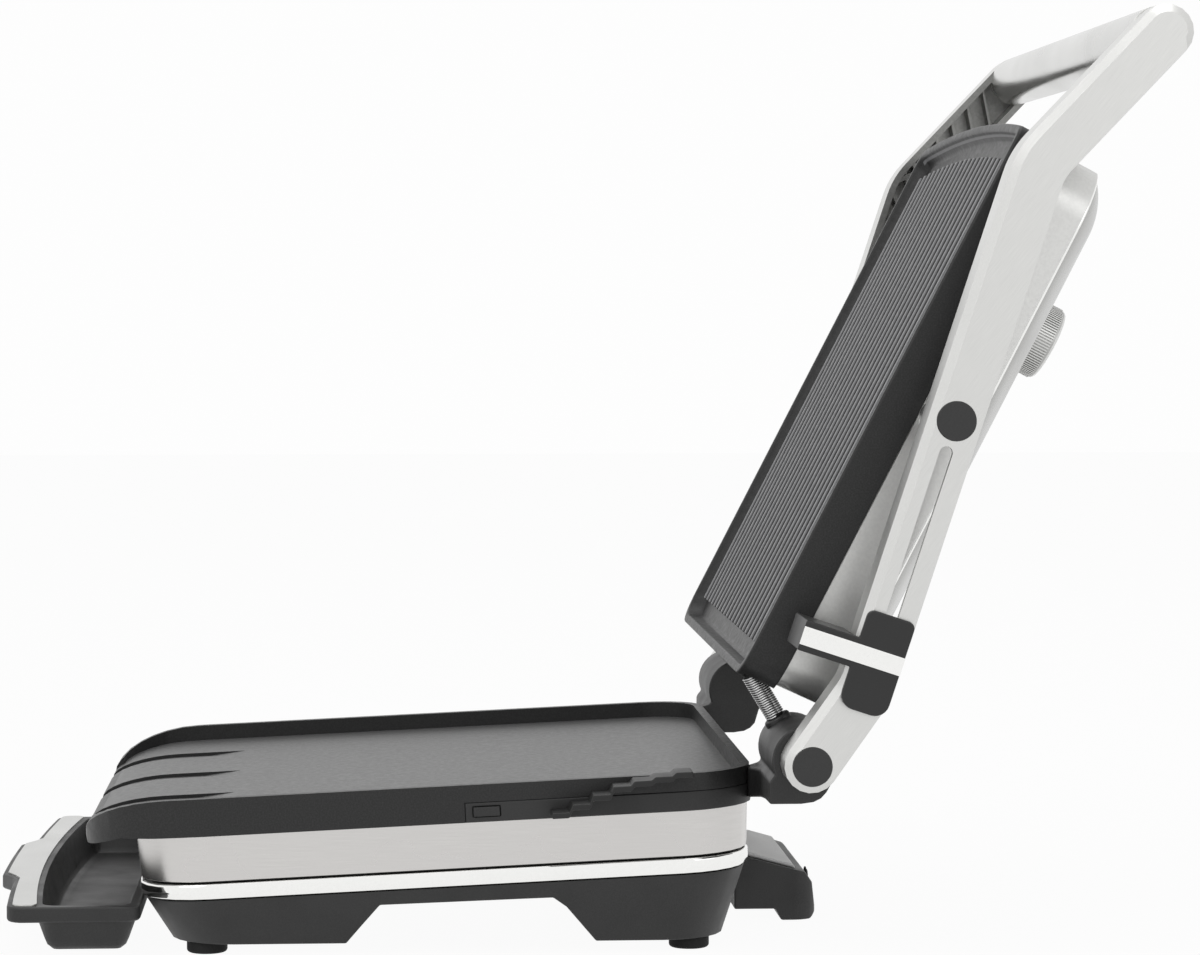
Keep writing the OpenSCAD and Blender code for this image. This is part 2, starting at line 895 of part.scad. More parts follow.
module pin_form() {
    rod(pin_inner_x + seat_clear, arm_out_x - pin_end_gap, hinge, pin_r);
}

module hinge_pin_right() {
    color("#8e8e8e")
        placed()
            pin_form();
}

module hinge_pin_left() {
    color("#8e8e8e")
        placed()
            mirror([1, 0, 0])
                pin_form();
}

// Middle line of an arm with its bends rounded
function bend_arc(p, a_in, a_out, r) = let (
    turn = a_out - a_in,
    cut = r * tan(abs(turn) / 2),
    side = turn > 0 ? 1 : -1,
    start = polar_from(p, -cut, a_in),
    c = polar_from(start, r, a_in + side * 90)
) [for (i = [0:corner_n]) let (a = a_in - side * 90 + turn * i / corner_n)
    [c[0] + r * cos(a), c[1] + r * sin(a), a + side * 90]];

function arm_line() = concat(
    [[hinge[0], hinge[1], arm_low_angle]],
    bend_arc(bend_low, arm_low_angle, arm_mid_angle, bend_r),
    bend_arc(bend_top, arm_mid_angle, arm_top_angle, bend_r),
    [[handle_at[0], handle_at[1], arm_top_angle]]
);

// Closed outline round the middle line, with its own distance on the front and the rear side
function arm_outline(front, rear, end) = let (line = arm_line(), n = len(line)) concat(
    [for (i = [0:n - 1]) polar_from(line[i], rear, line[i][2] - 90)],
    [for (i = [1:end_n - 1]) polar_from(handle_at, end, arm_top_angle - 90 + 180 * i / end_n)],
    [for (i = [0:n - 1]) polar_from(line[n - 1 - i], front, line[n - 1 - i][2] + 90)],
    [for (i = [1:end_n - 1]) polar_from(hinge, end, arm_low_angle + 90 + 180 * i / end_n)]
);

// The outline stood up at a distance across the object
function arm_ring(x, front, rear, end) = [for (p = arm_outline(front, rear, end)) [x, p[0], p[1]]];

// A round boss inside the channel, for a pin
module arm_boss(p, r) {
    rod(arm_in_x + boss_in, arm_out_x - arm_wall / 2, p, r);
}

// Diagonal ribs in the channel
module arm_ribs() {
    half = (arm_w - arm_wall) / 2;
    intersection() {
        across(arm_in_x + arm_wall, arm_out_x - arm_wall)
            polygon(arm_outline(half, half, half));
        for (i = [3:floor(arm_mid_len / arm_rib_pitch)])
            for (side = [-1, 1]) {
                p = polar_from(bend_low, (i + 1 / 2) * arm_rib_pitch, arm_mid_angle);
                translate([arm_in_x, p[0], p[1]])
                    rotate([arm_mid_angle + side * 45, 0, 0])
                        translate([0, -arm_w, -rib_t / 2])
                            cube([arm_depth, 2 * arm_w, rib_t]);
            }
    }
}

module arm_form(slotted) {
    half = arm_w / 2;
    inner = half - arm_wall;
    difference() {
        union() {
            difference() {
                loft([
                    arm_ring(arm_in_x, half, half, half),
                    arm_ring(arm_out_x - arm_bevel, half, half, half),
                    arm_ring(arm_out_x, half - arm_bevel, half - arm_bevel / 6, half - arm_bevel)
                ], len(arm_line()) * 2 + (end_n - 1) * 3 / 2);
                across(arm_in_x - overrun, arm_out_x - arm_wall)
                    polygon(arm_outline(inner, inner, inner));
            }
            if (!slotted)
                arm_ribs();
            arm_boss(hinge, boss_r);
            arm_boss(pivot_at, boss_r);
            arm_boss(handle_at, boss_r);
        }
        rod(arm_in_x - overrun, arm_out_x + overrun, hinge, pin_r + pin_clear);
        rod(arm_in_x - overrun, arm_out_x + overrun, pivot_at, pin_r + pin_clear);
        rod(arm_out_x - cap_seat, arm_out_x + overrun, hinge, cap_r + seat_clear);
        rod(arm_out_x - cap_seat, arm_out_x + overrun, pivot_at, cap_r + seat_clear);
        if (slotted)
            arm_slot();
    }
}

// The straight slot between the lower bend and the floating pivot
module arm_slot() {
    p0 = polar_from(bend_low, slot_low + slot_w / 2, arm_mid_angle);
    p1 = polar_from(bend_low, slot_low + slot_len - slot_w / 2, arm_mid_angle);
    across(arm_out_x - arm_wall - overrun, arm_out_x + overrun)
        polygon(concat(
            arc(p1, slot_w / 2, arm_mid_angle - 90, arm_mid_angle + 90, curve_n),
            arc(p0, slot_w / 2, arm_mid_angle + 90, arm_mid_angle + 270, curve_n)
        ));
}

module arm_right() {
    color("#dcdcda")
        placed()
            arm_form(true);
}

module arm_left() {
    color("#dcdcda")
        placed()
            mirror([1, 0, 0])
                arm_form(false);
}

module cap_pair(p) {
    for (side = [0, 1])
        mirror([side, 0, 0])
            rod(arm_out_x - cap_seat, arm_out_x + cap_proud, p, cap_r);
}

module hinge_caps() {
    color("#444444")
        placed()
            cap_pair(hinge);
}

module pivot_caps() {
    color("#444444")
        placed()
            cap_pair(pivot_at);
}

module insert_slab(w, x) {
    translate([-x, handle_at[0], handle_at[1]])
        rotate([arm_top_angle + 180, 0, 0])
            translate([0, -w / 2, handle_r - w / 2])
                cube([2 * x, w, w]);
}

module handle_bar() {
    color("#d6d6d4")
        placed()
            difference() {
                rod(-arm_in_x, arm_in_x, handle_at, handle_r);
                insert_slab(insert_w, arm_in_x - handle_r);
            }
}

module handle_insert() {
    color("#2e2e2e")
        placed()
            intersection() {
                insert_slab(insert_w, arm_in_x - handle_r);
                rod(-arm_in_x, arm_in_x, handle_at, handle_r);
            }
}

module bush_form() {
    rod(plate_w / 2 + overrun, arm_out_x - pin_end_gap, pivot_at, pin_r);
    rod(plate_w / 2 + lid_boss_len + gap, arm_in_x - gap, pivot_at, lid_boss_r);
}

module pivot_bush_right() {
    color("#8e8e8e")
        placed()
            bush_form();
}

module pivot_bush_left() {
    color("#8e8e8e")
        placed()
            mirror([1, 0, 0])
                bush_form();
}

// Outline of the lid with its bulging front, anticlockwise from the right rear
function lid_outline(inset, rear = 0) = let (
    half = plate_w / 2 - inset,
    r = lid_corner_r - inset / 2,
    y0 = -lid_d + inset,
    y1 = -inset - rear
) concat(
    arc([half - r / 2, y1 - r / 2], r / 2, 0, 90, corner_n),
    arc([-half + r / 2, y1 - r / 2], r / 2, 90, 180, corner_n),
    arc([-half + r, y0 + r], r, 180, 255, corner_n),
    [for (i = [1:curve_n - 1]) let (s = 2 * i / curve_n - 1) [
        s * (half - r),
        y0 - front_bulge * (1 - s * s) 
    ]],
    arc([half - r, y0 + r], r, 285, 360, corner_n)
);

module ribbed_plate() {
    floor_n = rib_floor;
    field_half = plate_w / 2 - 2 * rim_t;
    pitch = 2 * field_half / (rib_count + 1);
    rib_len = lid_d - 2 * strip_len - 2 * rim_t;
    color("#3a3a3a")
        placed() on_lid() {
            difference() {
                loft([
                    at_height(lid_outline(0), 0),
                    at_height(lid_outline(0), lid_wall_h)
                ]);
                loft([
                    at_height(lid_outline(rim_t), -overrun),
                    at_height(lid_outline(rim_t), floor_n)
                ]);
                // Hollow behind the plate, for the heating element
                loft([
                    at_height(lid_outline(2 * rim_t), floor_n + floor_t),
                    at_height(lid_outline(2 * rim_t), lid_wall_h + overrun)
                ]);
                translate([conduit_x - conduit_boss_r - notch_clear, -conduit_seat, conduit_notch])
                    cube([2 * (conduit_boss_r + notch_clear), conduit_seat + overrun, lid_wall_h]);
            }
            // Ribs from front to rear
            for (i = [1:rib_count])
                translate([-field_half + i * pitch, 0, 0])
                    rib_bar(pitch, rib_len, floor_n);
            // Flat strips at both ends, out to the rim
            intersection() {
                translate([0, 0, floor_n - rib_h])
                    linear_extrude(rib_h)
                        polygon(lid_outline(rim_t));
                for (y = [-rim_t - strip_len, -lid_d + rim_t + strip_len - lid_d])
                    translate([-plate_w, y, 0])
                        cube([2 * plate_w, lid_d, lid_wall_h]);
            }
        }
}

// One rib with sloping sides
module rib_bar(pitch, length, floor_n) {
    translate([0, -rim_t - strip_len, 0])
        rotate([90, 0, 0])
            linear_extrude(length)
                polygon([
                    [-pitch * rib_foot_share, floor_n],
                    [-pitch * rib_top_share, floor_n - rib_h],
                    [pitch * rib_top_share, floor_n - rib_h],
                    [pitch * rib_foot_share, floor_n]
                ]);
}

module lid_shell() {
    top_n = lid_wall_h + lid_case_h;
    color("#dededc")
        placed() on_lid()
            difference() {
                union() {
                    loft([
                        at_height(lid_outline(lid_case_inset, lid_case_rear - lid_case_inset), lid_wall_h),
                        at_height(lid_outline(lid_case_inset, lid_case_rear), top_n)
                    ]);
                    for (side = [-1, 1])
                        translate([side * (plate_w / 2 - rim_t), -pivot_along, pivot_n])
                            rotate([0, side * 90, 0])
                                cylinder(h = rim_t + lid_boss_len, r = lid_boss_r, $fn = round_fn);
                }
                loft([
                    at_height(lid_outline(lid_case_inset + lid_case_t, lid_case_rear), lid_wall_h - overrun),
                    at_height(lid_outline(lid_case_inset + lid_case_t, lid_case_rear), top_n - lid_case_t)
                ]);
                for (side = [-1, 1])
                    translate([side * (plate_w / 2 + seat_clear), -pivot_along, pivot_n])
                        rotate([0, side * 90, 0])
                            cylinder(h = 2 * lid_boss_len, r = pin_r + pin_clear, $fn = round_fn);
                translate([0, -dial_along, top_n - 2 * lid_case_t])
                    cylinder(h = 3 * lid_case_t, r = shaft_r + gap, $fn = round_fn);
            }
}

// Height of the dome over the case: round across, with quick rounded ends
function dome_at(sx, y) = let (
    y0 = -lid_d + cover_inset,
    y1 = -lid_case_rear - cover_inset,
    from_end = min(y - y0, y1 - y),
    t = min(max(from_end / dome_end, 0), 1)
) cover_lip + dome_h * sqrt(max(1 - sx * sx, 0)) ^ dome_power * sqrt(max(1 - (1 - t) * (1 - t), 0));

// Half width of the cover at a depth, drawn in at the corners
function cover_half(y) = let (
    r = lid_corner_r,
    y0 = -lid_d + cover_inset,
    y1 = -lid_case_rear - cover_inset,
    from_front = max(r - (y - y0), 0),
    from_rear = max(r / 2 - (y1 - y), 0)
) plate_w / 2 - cover_inset - (r - sqrt(max(r * r - from_front * from_front, 0)))
    - (r / 2 - sqrt(max(r * r / 4 - from_rear * from_rear, 0)));

module lid_cover() {
    base_n = lid_wall_h + lid_case_h;
    y0 = -lid_d + cover_inset;
    y1 = -lid_case_rear - cover_inset;
    rows = [for (j = [0:cover_rows]) let (t = (1 - cos(180 * j / cover_rows)) / 2) y0 + (y1 - y0) * t];
    cols = [for (i = [0:cover_cols]) -cos(180 * i / cover_cols)];
    nc = cover_cols + 1;
    count = nc * (cover_rows + 1);
    top = [for (y = rows) for (s = cols)
        [s * cover_half(y), y, base_n + dome_at(s, y)]];
    low = [for (y = rows) for (s = cols)
        [s * cover_half(y), y, base_n + max(dome_at(s, y) - cover_t, 0)]];
    color("#d2d2d0")
        placed() on_lid()
            difference() {
                polyhedron(
                    points = concat(top, low),
                    faces = concat(
                        [for (j = [0:cover_rows - 1]) for (i = [0:nc - 2]) for (h = [0, 1])
                            h == 0
                                ? [j * nc + i, (j + 1) * nc + i, (j + 1) * nc + i + 1]
                                : [j * nc + i, (j + 1) * nc + i + 1, j * nc + i + 1]],
                        [for (j = [0:cover_rows - 1]) for (i = [0:nc - 2]) for (h = [0, 1])
                            h == 0
                                ? [count + j * nc + i, count + (j + 1) * nc + i + 1, count + (j + 1) * nc + i]
                                : [count + j * nc + i, count + j * nc + i + 1, count + (j + 1) * nc + i + 1]],
                        [for (i = [0:nc - 2]) for (h = [0, 1])
                            h == 0 ? [i, i + 1, count + i + 1] : [i, count + i + 1, count + i]],
                        [for (i = [0:nc - 2]) let (k = cover_rows * nc + i) for (h = [0, 1])
                            h == 0 ? [k + 1, k, count + k] : [k + 1, count + k, count + k + 1]],
                        [for (j = [0:cover_rows - 1]) let (k = j * nc, m = (j + 1) * nc) for (h = [0, 1])
                            h == 0 ? [m, k, count + k] : [m, count + k, count + m]],
                        [for (j = [0:cover_rows - 1]) let (k = j * nc + nc - 1, m = k + nc) for (h = [0, 1])
                            h == 0 ? [k, m, count + m] : [k, count + m, count + k]]
                    )
                );
                translate([0, -dial_along, base_n])
                    cylinder(h = dome_h + 2 * overrun, r = shaft_r + gap, $fn = round_fn);
            }
}

module upper_heating_element() {
    color("#6b6258")
        placed() on_lid()
            translate([0, -lid_d / 2, rib_floor + floor_t + element_r])
                heater_loops(element_loops);
}

module thermostat() {
    top_n = lid_wall_h + lid_case_h - lid_case_t;
    color("#c7b37a")
        placed() on_lid()
            difference() {
                translate([0, -dial_along, top_n - thermostat_h])
                    cylinder(h = thermostat_h, r = thermostat_r, $fn = round_fn);
                translate([0, -dial_along, top_n - thermostat_h / 2])
                    cylinder(h = thermostat_h, r = shaft_r + gap, $fn = round_fn);
            }
}

module dial_bezel() {
    color("#bdbdbb")
        placed() on_lid()
            translate([0, -dial_along, dial_base_n])
                difference() {
                    cylinder(h = bezel_ring_h, r = dial_r - bezel_ring_grow, $fn = round_fn);
                    translate([0, 0, -overrun])
                        cylinder(h = bezel_ring_h + 2 * overrun, r = shaft_r + gap, $fn = round_fn);
                }
}

module dial_knob() {
    color("#e2e2e0")
        placed() on_lid()
            translate([0, -dial_along, dial_base_n + bezel_ring_h + gap])
                difference() {
                    union() {
                        linear_extrude(dial_h - bezel_ring_h - gap - dial_lift)
                            polygon([for (i = [0:2 * dial_grips - 1])
                                let (a = 180 * i / dial_grips, r = dial_r - (i % 2) * grip_depth)
                                    [r * cos(a), r * sin(a)]]);
                        cylinder(
                            h = dial_h - bezel_ring_h - gap,
                            r = dial_r - 2 * grip_depth - dial_lift,
                            $fn = round_fn
                        );
                    }
                    translate([0, 0, -overrun])
                        cylinder(h = overrun + dial_h / 2, r = shaft_r, $fn = round_fn);
                    // Pointer groove
                    translate([-dial_lift / 2, dial_r / 3, dial_h - bezel_ring_h - gap - dial_lift / 2])
                        cube([dial_lift, dial_r, dial_lift]);
                }
}

module dial_shaft() {
    low_n = lid_wall_h + lid_case_h - lid_case_t - thermostat_h / 2 + gap;
    color("#a9a9a9")
        placed() on_lid()
            translate([0, -dial_along, low_n])
                cylinder(
                    h = dial_base_n + bezel_ring_h + gap + dial_h / 2 - low_n,
                    r = shaft_r,
                    $fn = round_fn
                );
}

module lid_screws() {
    color("#9a9a9a")
        placed() on_lid()
            for (side = [-1, 1])
                for (y = [-lid_d / 4, -lid_d * 3 / 4])
                    translate([side * (plate_w / 2 - 2 * rim_t - 2 * screw_r), y, rib_floor + floor_t])
                        cylinder(h = screw_h, r = screw_r, $fn = round_fn);
}

// Draws in the slider's frame: +Y up the arm, +Z to the front of the arm, origin on its middle line
module on_slider() {
    translate([0, slider_at[0], slider_at[1]])
        rotate([arm_mid_angle, 0, 0])
            children();
}

module slider_body() {
    face_x = arm_out_x + arm_face_gap;
    front_z = arm_w / 2 + arm_face_gap;
    inner_x = plate_w / 2 + rack_depth + 2 * gap;
    stem_r = slot_w / 2 - seat_clear;
    color("#343434")
        placed() on_slider() {
            // Pads above and below the bar on the arm's outer face
            across(face_x, face_x + slider_skin)
                polygon([for (p = slab_outline(
                    pad_half,
                    -leg_w / 2 - pad_low_len,
                    leg_w / 2 + pad_top_len,
                    pad_low_r,
                    pad_top_r
                )) [p[1], p[0]]]);
            // Bar across the arm, and the leg in front of it
            translate([face_x, -leg_w / 2, -pad_half])
                cube([slider_skin, leg_w, pad_half + leg_reach]);
            translate([inner_x, -leg_w / 2, front_z])
                cube([face_x - inner_x + overrun, leg_w, leg_reach - front_z]);
            // Round-ended stem through the slot
            across(arm_out_x - arm_wall - arm_face_gap, face_x + overrun)
                polygon(concat(
                    arc([stem_len - stem_low - stem_r, 0], stem_r, -90, 90, curve_n),
                    arc([stem_r - stem_low, 0], stem_r, 90, 270, curve_n)
                ));
        }
}

module slider_band() {
    face_x = arm_out_x + arm_face_gap + slider_skin;
    color("#efefed")
        placed() on_slider()
            translate([face_x, -slider_band_w / 2, -pad_half])
                cube([band_t, slider_band_w, pad_half + leg_reach]);
}

module slider_clamp() {
    x1 = arm_out_x - arm_wall - arm_face_gap;
    color("#777777")
        placed() on_slider()
            translate([x1 - 2 * rib_t, -stem_low, -slot_w])
                cube([2 * rib_t, stem_len, 2 * slot_w]);
}

// Front edge of the tray, bulging in the middle
function tray_front(x) = tray_rear_y - tray_w - tray_bulge * (1 - (x / tray_half) * (x / tray_half));

function tray_outline(inset, tab, rear = 0) = let (
    half = tray_half - inset,
    r = tray_corner_r - inset / 2,
    y1 = tray_rear_y - inset - rear
) concat(
    arc([half - r / 2, y1 - r / 2], r / 2, 0, 90, corner_n),
    arc([-half + r / 2, y1 - r / 2], r / 2, 90, 180, corner_n),
    arc([-half + r, tray_front(half - r) + inset + r], r, 180, 260, corner_n),
    [for (x = [-tab_half - tab_reach, -tab_half, tab_half, tab_half + tab_reach])
        [x, tray_front(x) + inset - (abs(x) <= tab_half ? tab : 0)]],
    arc([half - r, tray_front(half - r) + inset + r], r, 280, 360, corner_n)
);

// Outline of the tray's inside: behind the ledge
function basin_outline(inset) = let (
    half = tray_half - tray_wall * 2 - inset,
    r = tray_corner_r / 2,
    y1 = tray_rear_y - tray_wall * 2 - inset,
    y0 = tray_rear_y - tray_w + tray_ledge + inset
) slab_outline(half, y0, y1, r, r);

module tray_tub() {
    color("#373737")
        placed()
            difference() {
                union() {
                    loft([
                        at_height(tray_outline(0, tab_reach), tray_h - tray_rim_h),
                        at_height(tray_outline(0, tab_reach), tray_h)
                    ], corner_n + 1);
                    loft([
                        at_height(basin_outline(tray_draft - tray_wall), 0),
                        at_height(basin_outline(-tray_wall), tray_h - tray_rim_h),
                        at_height(basin_outline(-tray_wall), tray_h - tray_rim_h + overrun)
                    ]);
                }
                loft([
                    at_height(basin_outline(tray_draft), tray_wall),
                    at_height(basin_outline(0), tray_h - tray_rim_h),
                    at_height(basin_outline(0), tray_h + overrun)
                ]);
            }
}

module tray_trim() {
    x_end = tray_half - 2 * trim_edge;
    x_list = [-x_end, -tab_half - tab_reach, -tab_half, tab_half, tab_half + tab_reach, x_end];
    color("#cfcfcd")
        placed()
            translate([0, 0, tray_h])
                linear_extrude(trim_t)
                    polygon(concat(
                        [for (x = x_list)
                            [x, tray_front(x) + trim_edge - (abs(x) <= tab_half ? tab_reach : 0)]],
                        [[x_end, tray_rear_y - tray_w + tray_ledge - trim_edge],
                            [-x_end, tray_rear_y - tray_w + tray_ledge - trim_edge]]
                    ));
}

// Middle of the sleeve's wire at each step, along the conduit's own axis
function coil_mid(k) = let (a = 360 * k / rings_per_turn)
    [coil_r * cos(a), coil_r * sin(a), wire_r + wire_pitch * k / rings_per_turn];

function coil_ring(k) = let (a = 360 * k / rings_per_turn, mid = coil_mid(k))
    [for (i = [0:wire_sides - 1]) let (b = 360 * i / wire_sides)
        mid + [wire_r * cos(b) * cos(a), wire_r * cos(b) * sin(a), wire_r * sin(b)]];

// Least gap between one turn and the next
function coil_gap() = let (half_turn = rings_per_turn / 2) min([
    for (k = [0:rings_per_turn]) for (m = [half_turn:3 * half_turn])
        norm(coil_mid(k + m) - coil_mid(k))
]) - 2 * wire_r;

module on_conduit() {
    translate([conduit_x, conduit_foot[0], conduit_foot[1]])
        rotate([conduit_lean, 0, 0])
            children();
}

module conduit_sleeve() {
    steps = conduit_turns * rings_per_turn;
    echo(least_gap = coil_gap());
    color("#a8a8a8")
        placed() on_conduit()
            translate([0, 0, conduit_base])
                loft([for (k = [0:steps]) coil_ring(steps - k)]);
}

module conduit_liner() {
    color("#2c2c2c")
        placed() on_conduit()
            translate([0, 0, conduit_base])
                cylinder(h = conduit_len, r = liner_r, $fn = round_fn);
}

base_tub();
base_feet();
chrome_band();
steel_skirt();
base_bezel();
griddle_plate();
height_rack();
release_button();
lower_heating_element();
heat_shield();
rear_housing();
rear_housing_cover();
cord_gland();
hinge_bracket_left();
hinge_bracket_right();
base_screws();
hinge_pin_left();
hinge_pin_right();
arm_left();
arm_right();
hinge_caps();
pivot_caps();
handle_bar();
handle_insert();
pivot_bush_left();
pivot_bush_right();
lid_shell();
lid_cover();
ribbed_plate();
upper_heating_element();
thermostat();
dial_bezel();
dial_knob();
dial_shaft();
lid_screws();
slider_body();
slider_band();
slider_clamp();
tray_tub();
tray_trim();
conduit_sleeve();
conduit_liner();
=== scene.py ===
"""Looks of an electric countertop grill whose lid is open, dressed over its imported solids."""

import json
import math

import bmesh
import bpy
from bpy.props import FloatProperty, FloatVectorProperty, IntProperty, PointerProperty
from mathutils import Matrix, Vector


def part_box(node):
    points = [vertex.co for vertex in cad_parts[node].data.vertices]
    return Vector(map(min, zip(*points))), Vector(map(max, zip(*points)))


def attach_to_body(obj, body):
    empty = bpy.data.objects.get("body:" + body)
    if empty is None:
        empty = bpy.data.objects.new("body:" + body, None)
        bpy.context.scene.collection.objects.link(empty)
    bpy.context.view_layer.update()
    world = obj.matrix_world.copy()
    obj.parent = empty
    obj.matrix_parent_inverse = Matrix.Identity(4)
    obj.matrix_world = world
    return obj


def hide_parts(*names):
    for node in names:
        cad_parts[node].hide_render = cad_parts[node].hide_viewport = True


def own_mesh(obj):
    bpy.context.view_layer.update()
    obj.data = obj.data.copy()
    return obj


bl_info = {
    "name": "Countertop grill",
    "version": (1, 0, 0),
    "blender": (4, 5, 0),
    "location": "View3D > Sidebar > Grill",
    "description": "Builds the finished pieces and materials of an open countertop grill",
    "category": "Object",
}

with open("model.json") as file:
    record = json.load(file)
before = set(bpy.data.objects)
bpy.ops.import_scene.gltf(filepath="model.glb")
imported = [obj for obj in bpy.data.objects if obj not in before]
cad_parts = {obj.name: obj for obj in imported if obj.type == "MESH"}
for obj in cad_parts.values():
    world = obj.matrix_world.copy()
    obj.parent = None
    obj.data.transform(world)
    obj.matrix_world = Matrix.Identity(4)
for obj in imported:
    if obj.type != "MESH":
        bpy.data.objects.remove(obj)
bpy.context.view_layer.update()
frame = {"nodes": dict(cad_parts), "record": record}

MM = 0.001
WELD = 0.01 * MM
FLAT_ANGLE = math.radians(0.8)
SHARP_ANGLE = math.radians(38)
ROUND_ANGLE = math.radians(80)
ARC_STEPS = 10

# How the lid stands open: its angle, its pivots from its rear edge and rim, and its case from the rim
LID_ANGLE = math.radians(62.7)
PIVOT_ALONG = 132.5 * MM
PIVOT_RISE = 24.6 * MM
CASE_TOP = 40.2 * MM

# The lower plate slopes down to the front
PLATE_TILT = math.radians(2.6)
# How far below the rim the lower plate's floor gets its painted reflection
REFLECTION_DEPTH = 5 * MM

# The cover stops short of the lid's sides, front and rear
COVER_INSET = 3 * MM
COVER_REAR = 6 * MM
COVER_SHEET = 1.2 * MM
COVER_EDGE = 0.6 * MM
# At 1 the dome is an ellipse across, and above that it falls faster to the sides
COVER_FALL = 1.3

# A notch in the lid plate's rear wall clears the conduit
NOTCH_X = 126 * MM
NOTCH_HALF = 6.3 * MM
NOTCH_DEPTH = 6 * MM
NOTCH_START = 3 * MM

# Ribs in an arm's handle end: the end's slope, their lean against it, their places from the handle
ARM_TOP_ANGLE = math.radians(46.2)
ARM_RIB_LEAN = math.radians(55)
ARM_RIB_FIRST = 18 * MM
ARM_RIB_LAST = 74 * MM
ARM_RIB_SIZE = (9 * MM, 21.5 * MM, 1.5 * MM)
ARM_WEB = 3 * MM

# Sections of a hinge bracket in millimetres: from the grill's middle, the front behind the bezel's rear
# face, and the underside above the bracket's foot
BRACKET_SECTIONS = (
    (113.2, -2.4, 1), (123, -2.4, 1), (126, 0.6, 1.4), (131, 1.8, 2), (150, 1.8, 3.6), (169.5, 1.8, 4),
)
# The knuckle's rounded underside: places behind the hinge axis and above the underside
BRACKET_HEEL = ((-2, 0), (3, 0.7), (6, 2.2), (8.2, 4.6))
# The knuckle's round part in degrees from straight behind, and how the neck's top slopes up to it
KNUCKLE_ARC = (-44, 204)
NECK_DROP = 1 * MM
NECK_BACK = 3 * MM
NECK_RISE = 0.6 * MM
# The conduit's boss: how deep it is sunk, and its wall round the conduit
BOSS_DEPTH = 11 * MM
BOSS_WALL = 2.4 * MM

# The gland lies flatter against its housing than its solid
GLAND_SHARE = 0.3

# Lamps: name, place, what they look at, metres across, watts
LAMPS = (
    ("Key softbox", (1.6, -1.3, 1.7), (0, 0, 0.15), 1.5, 12),
    ("Fill softbox", (1.8, 1.4, 0.9), (0, 0.05, 0.15), 1.4, 4),
    ("Top softbox", (-0.2, 0.1, 2.1), (0, 0, 0), 1.6, 9),
)
# The sky's strength as light on the object, and how near white the sky and the floor look
SKY_LIGHT = 0.45
SKY_SEEN = 0.985
FLOOR_SEEN = 0.95
FLOOR_HALF = 5.0

# The photograph's camera: its place, its turn and its focal length in pixels of a frame 1200 wide
CAMERA_PLACE = (1.7036, -0.0886, 0.2725)
CAMERA_YAW = math.radians(3.586)
CAMERA_PITCH = math.radians(2.683)
FOCAL_PIXELS = 3816
FRAME_PIXELS = 1200
SENSOR_MM = 36


def linear(digits):
    """Linear colour of sRGB hex digits."""
    parts = [int(digits[i : i + 2], 16) / 255 for i in (0, 2, 4)]
    return [c / 12.92 if c <= 0.04045 else ((c + 0.055) / 1.055) ** 2.4 for c in parts]


def colour(name, text, default):
    """A colour property whose default is given as hex digits."""
    return FloatVectorProperty(
        name=name, description=text, subtype="COLOR", size=3, min=0, max=1, default=linear(default)
    )


def length(name, text, default_mm):
    """A length property in metres whose default is given in millimetres."""
    return FloatProperty(
        name=name, description=text, subtype="DISTANCE", unit="LENGTH", default=default_mm * MM
    )


def count(name, text, default):
    """A number of equal parts."""
    return IntProperty(name=name, description=text, default=default, min=2)


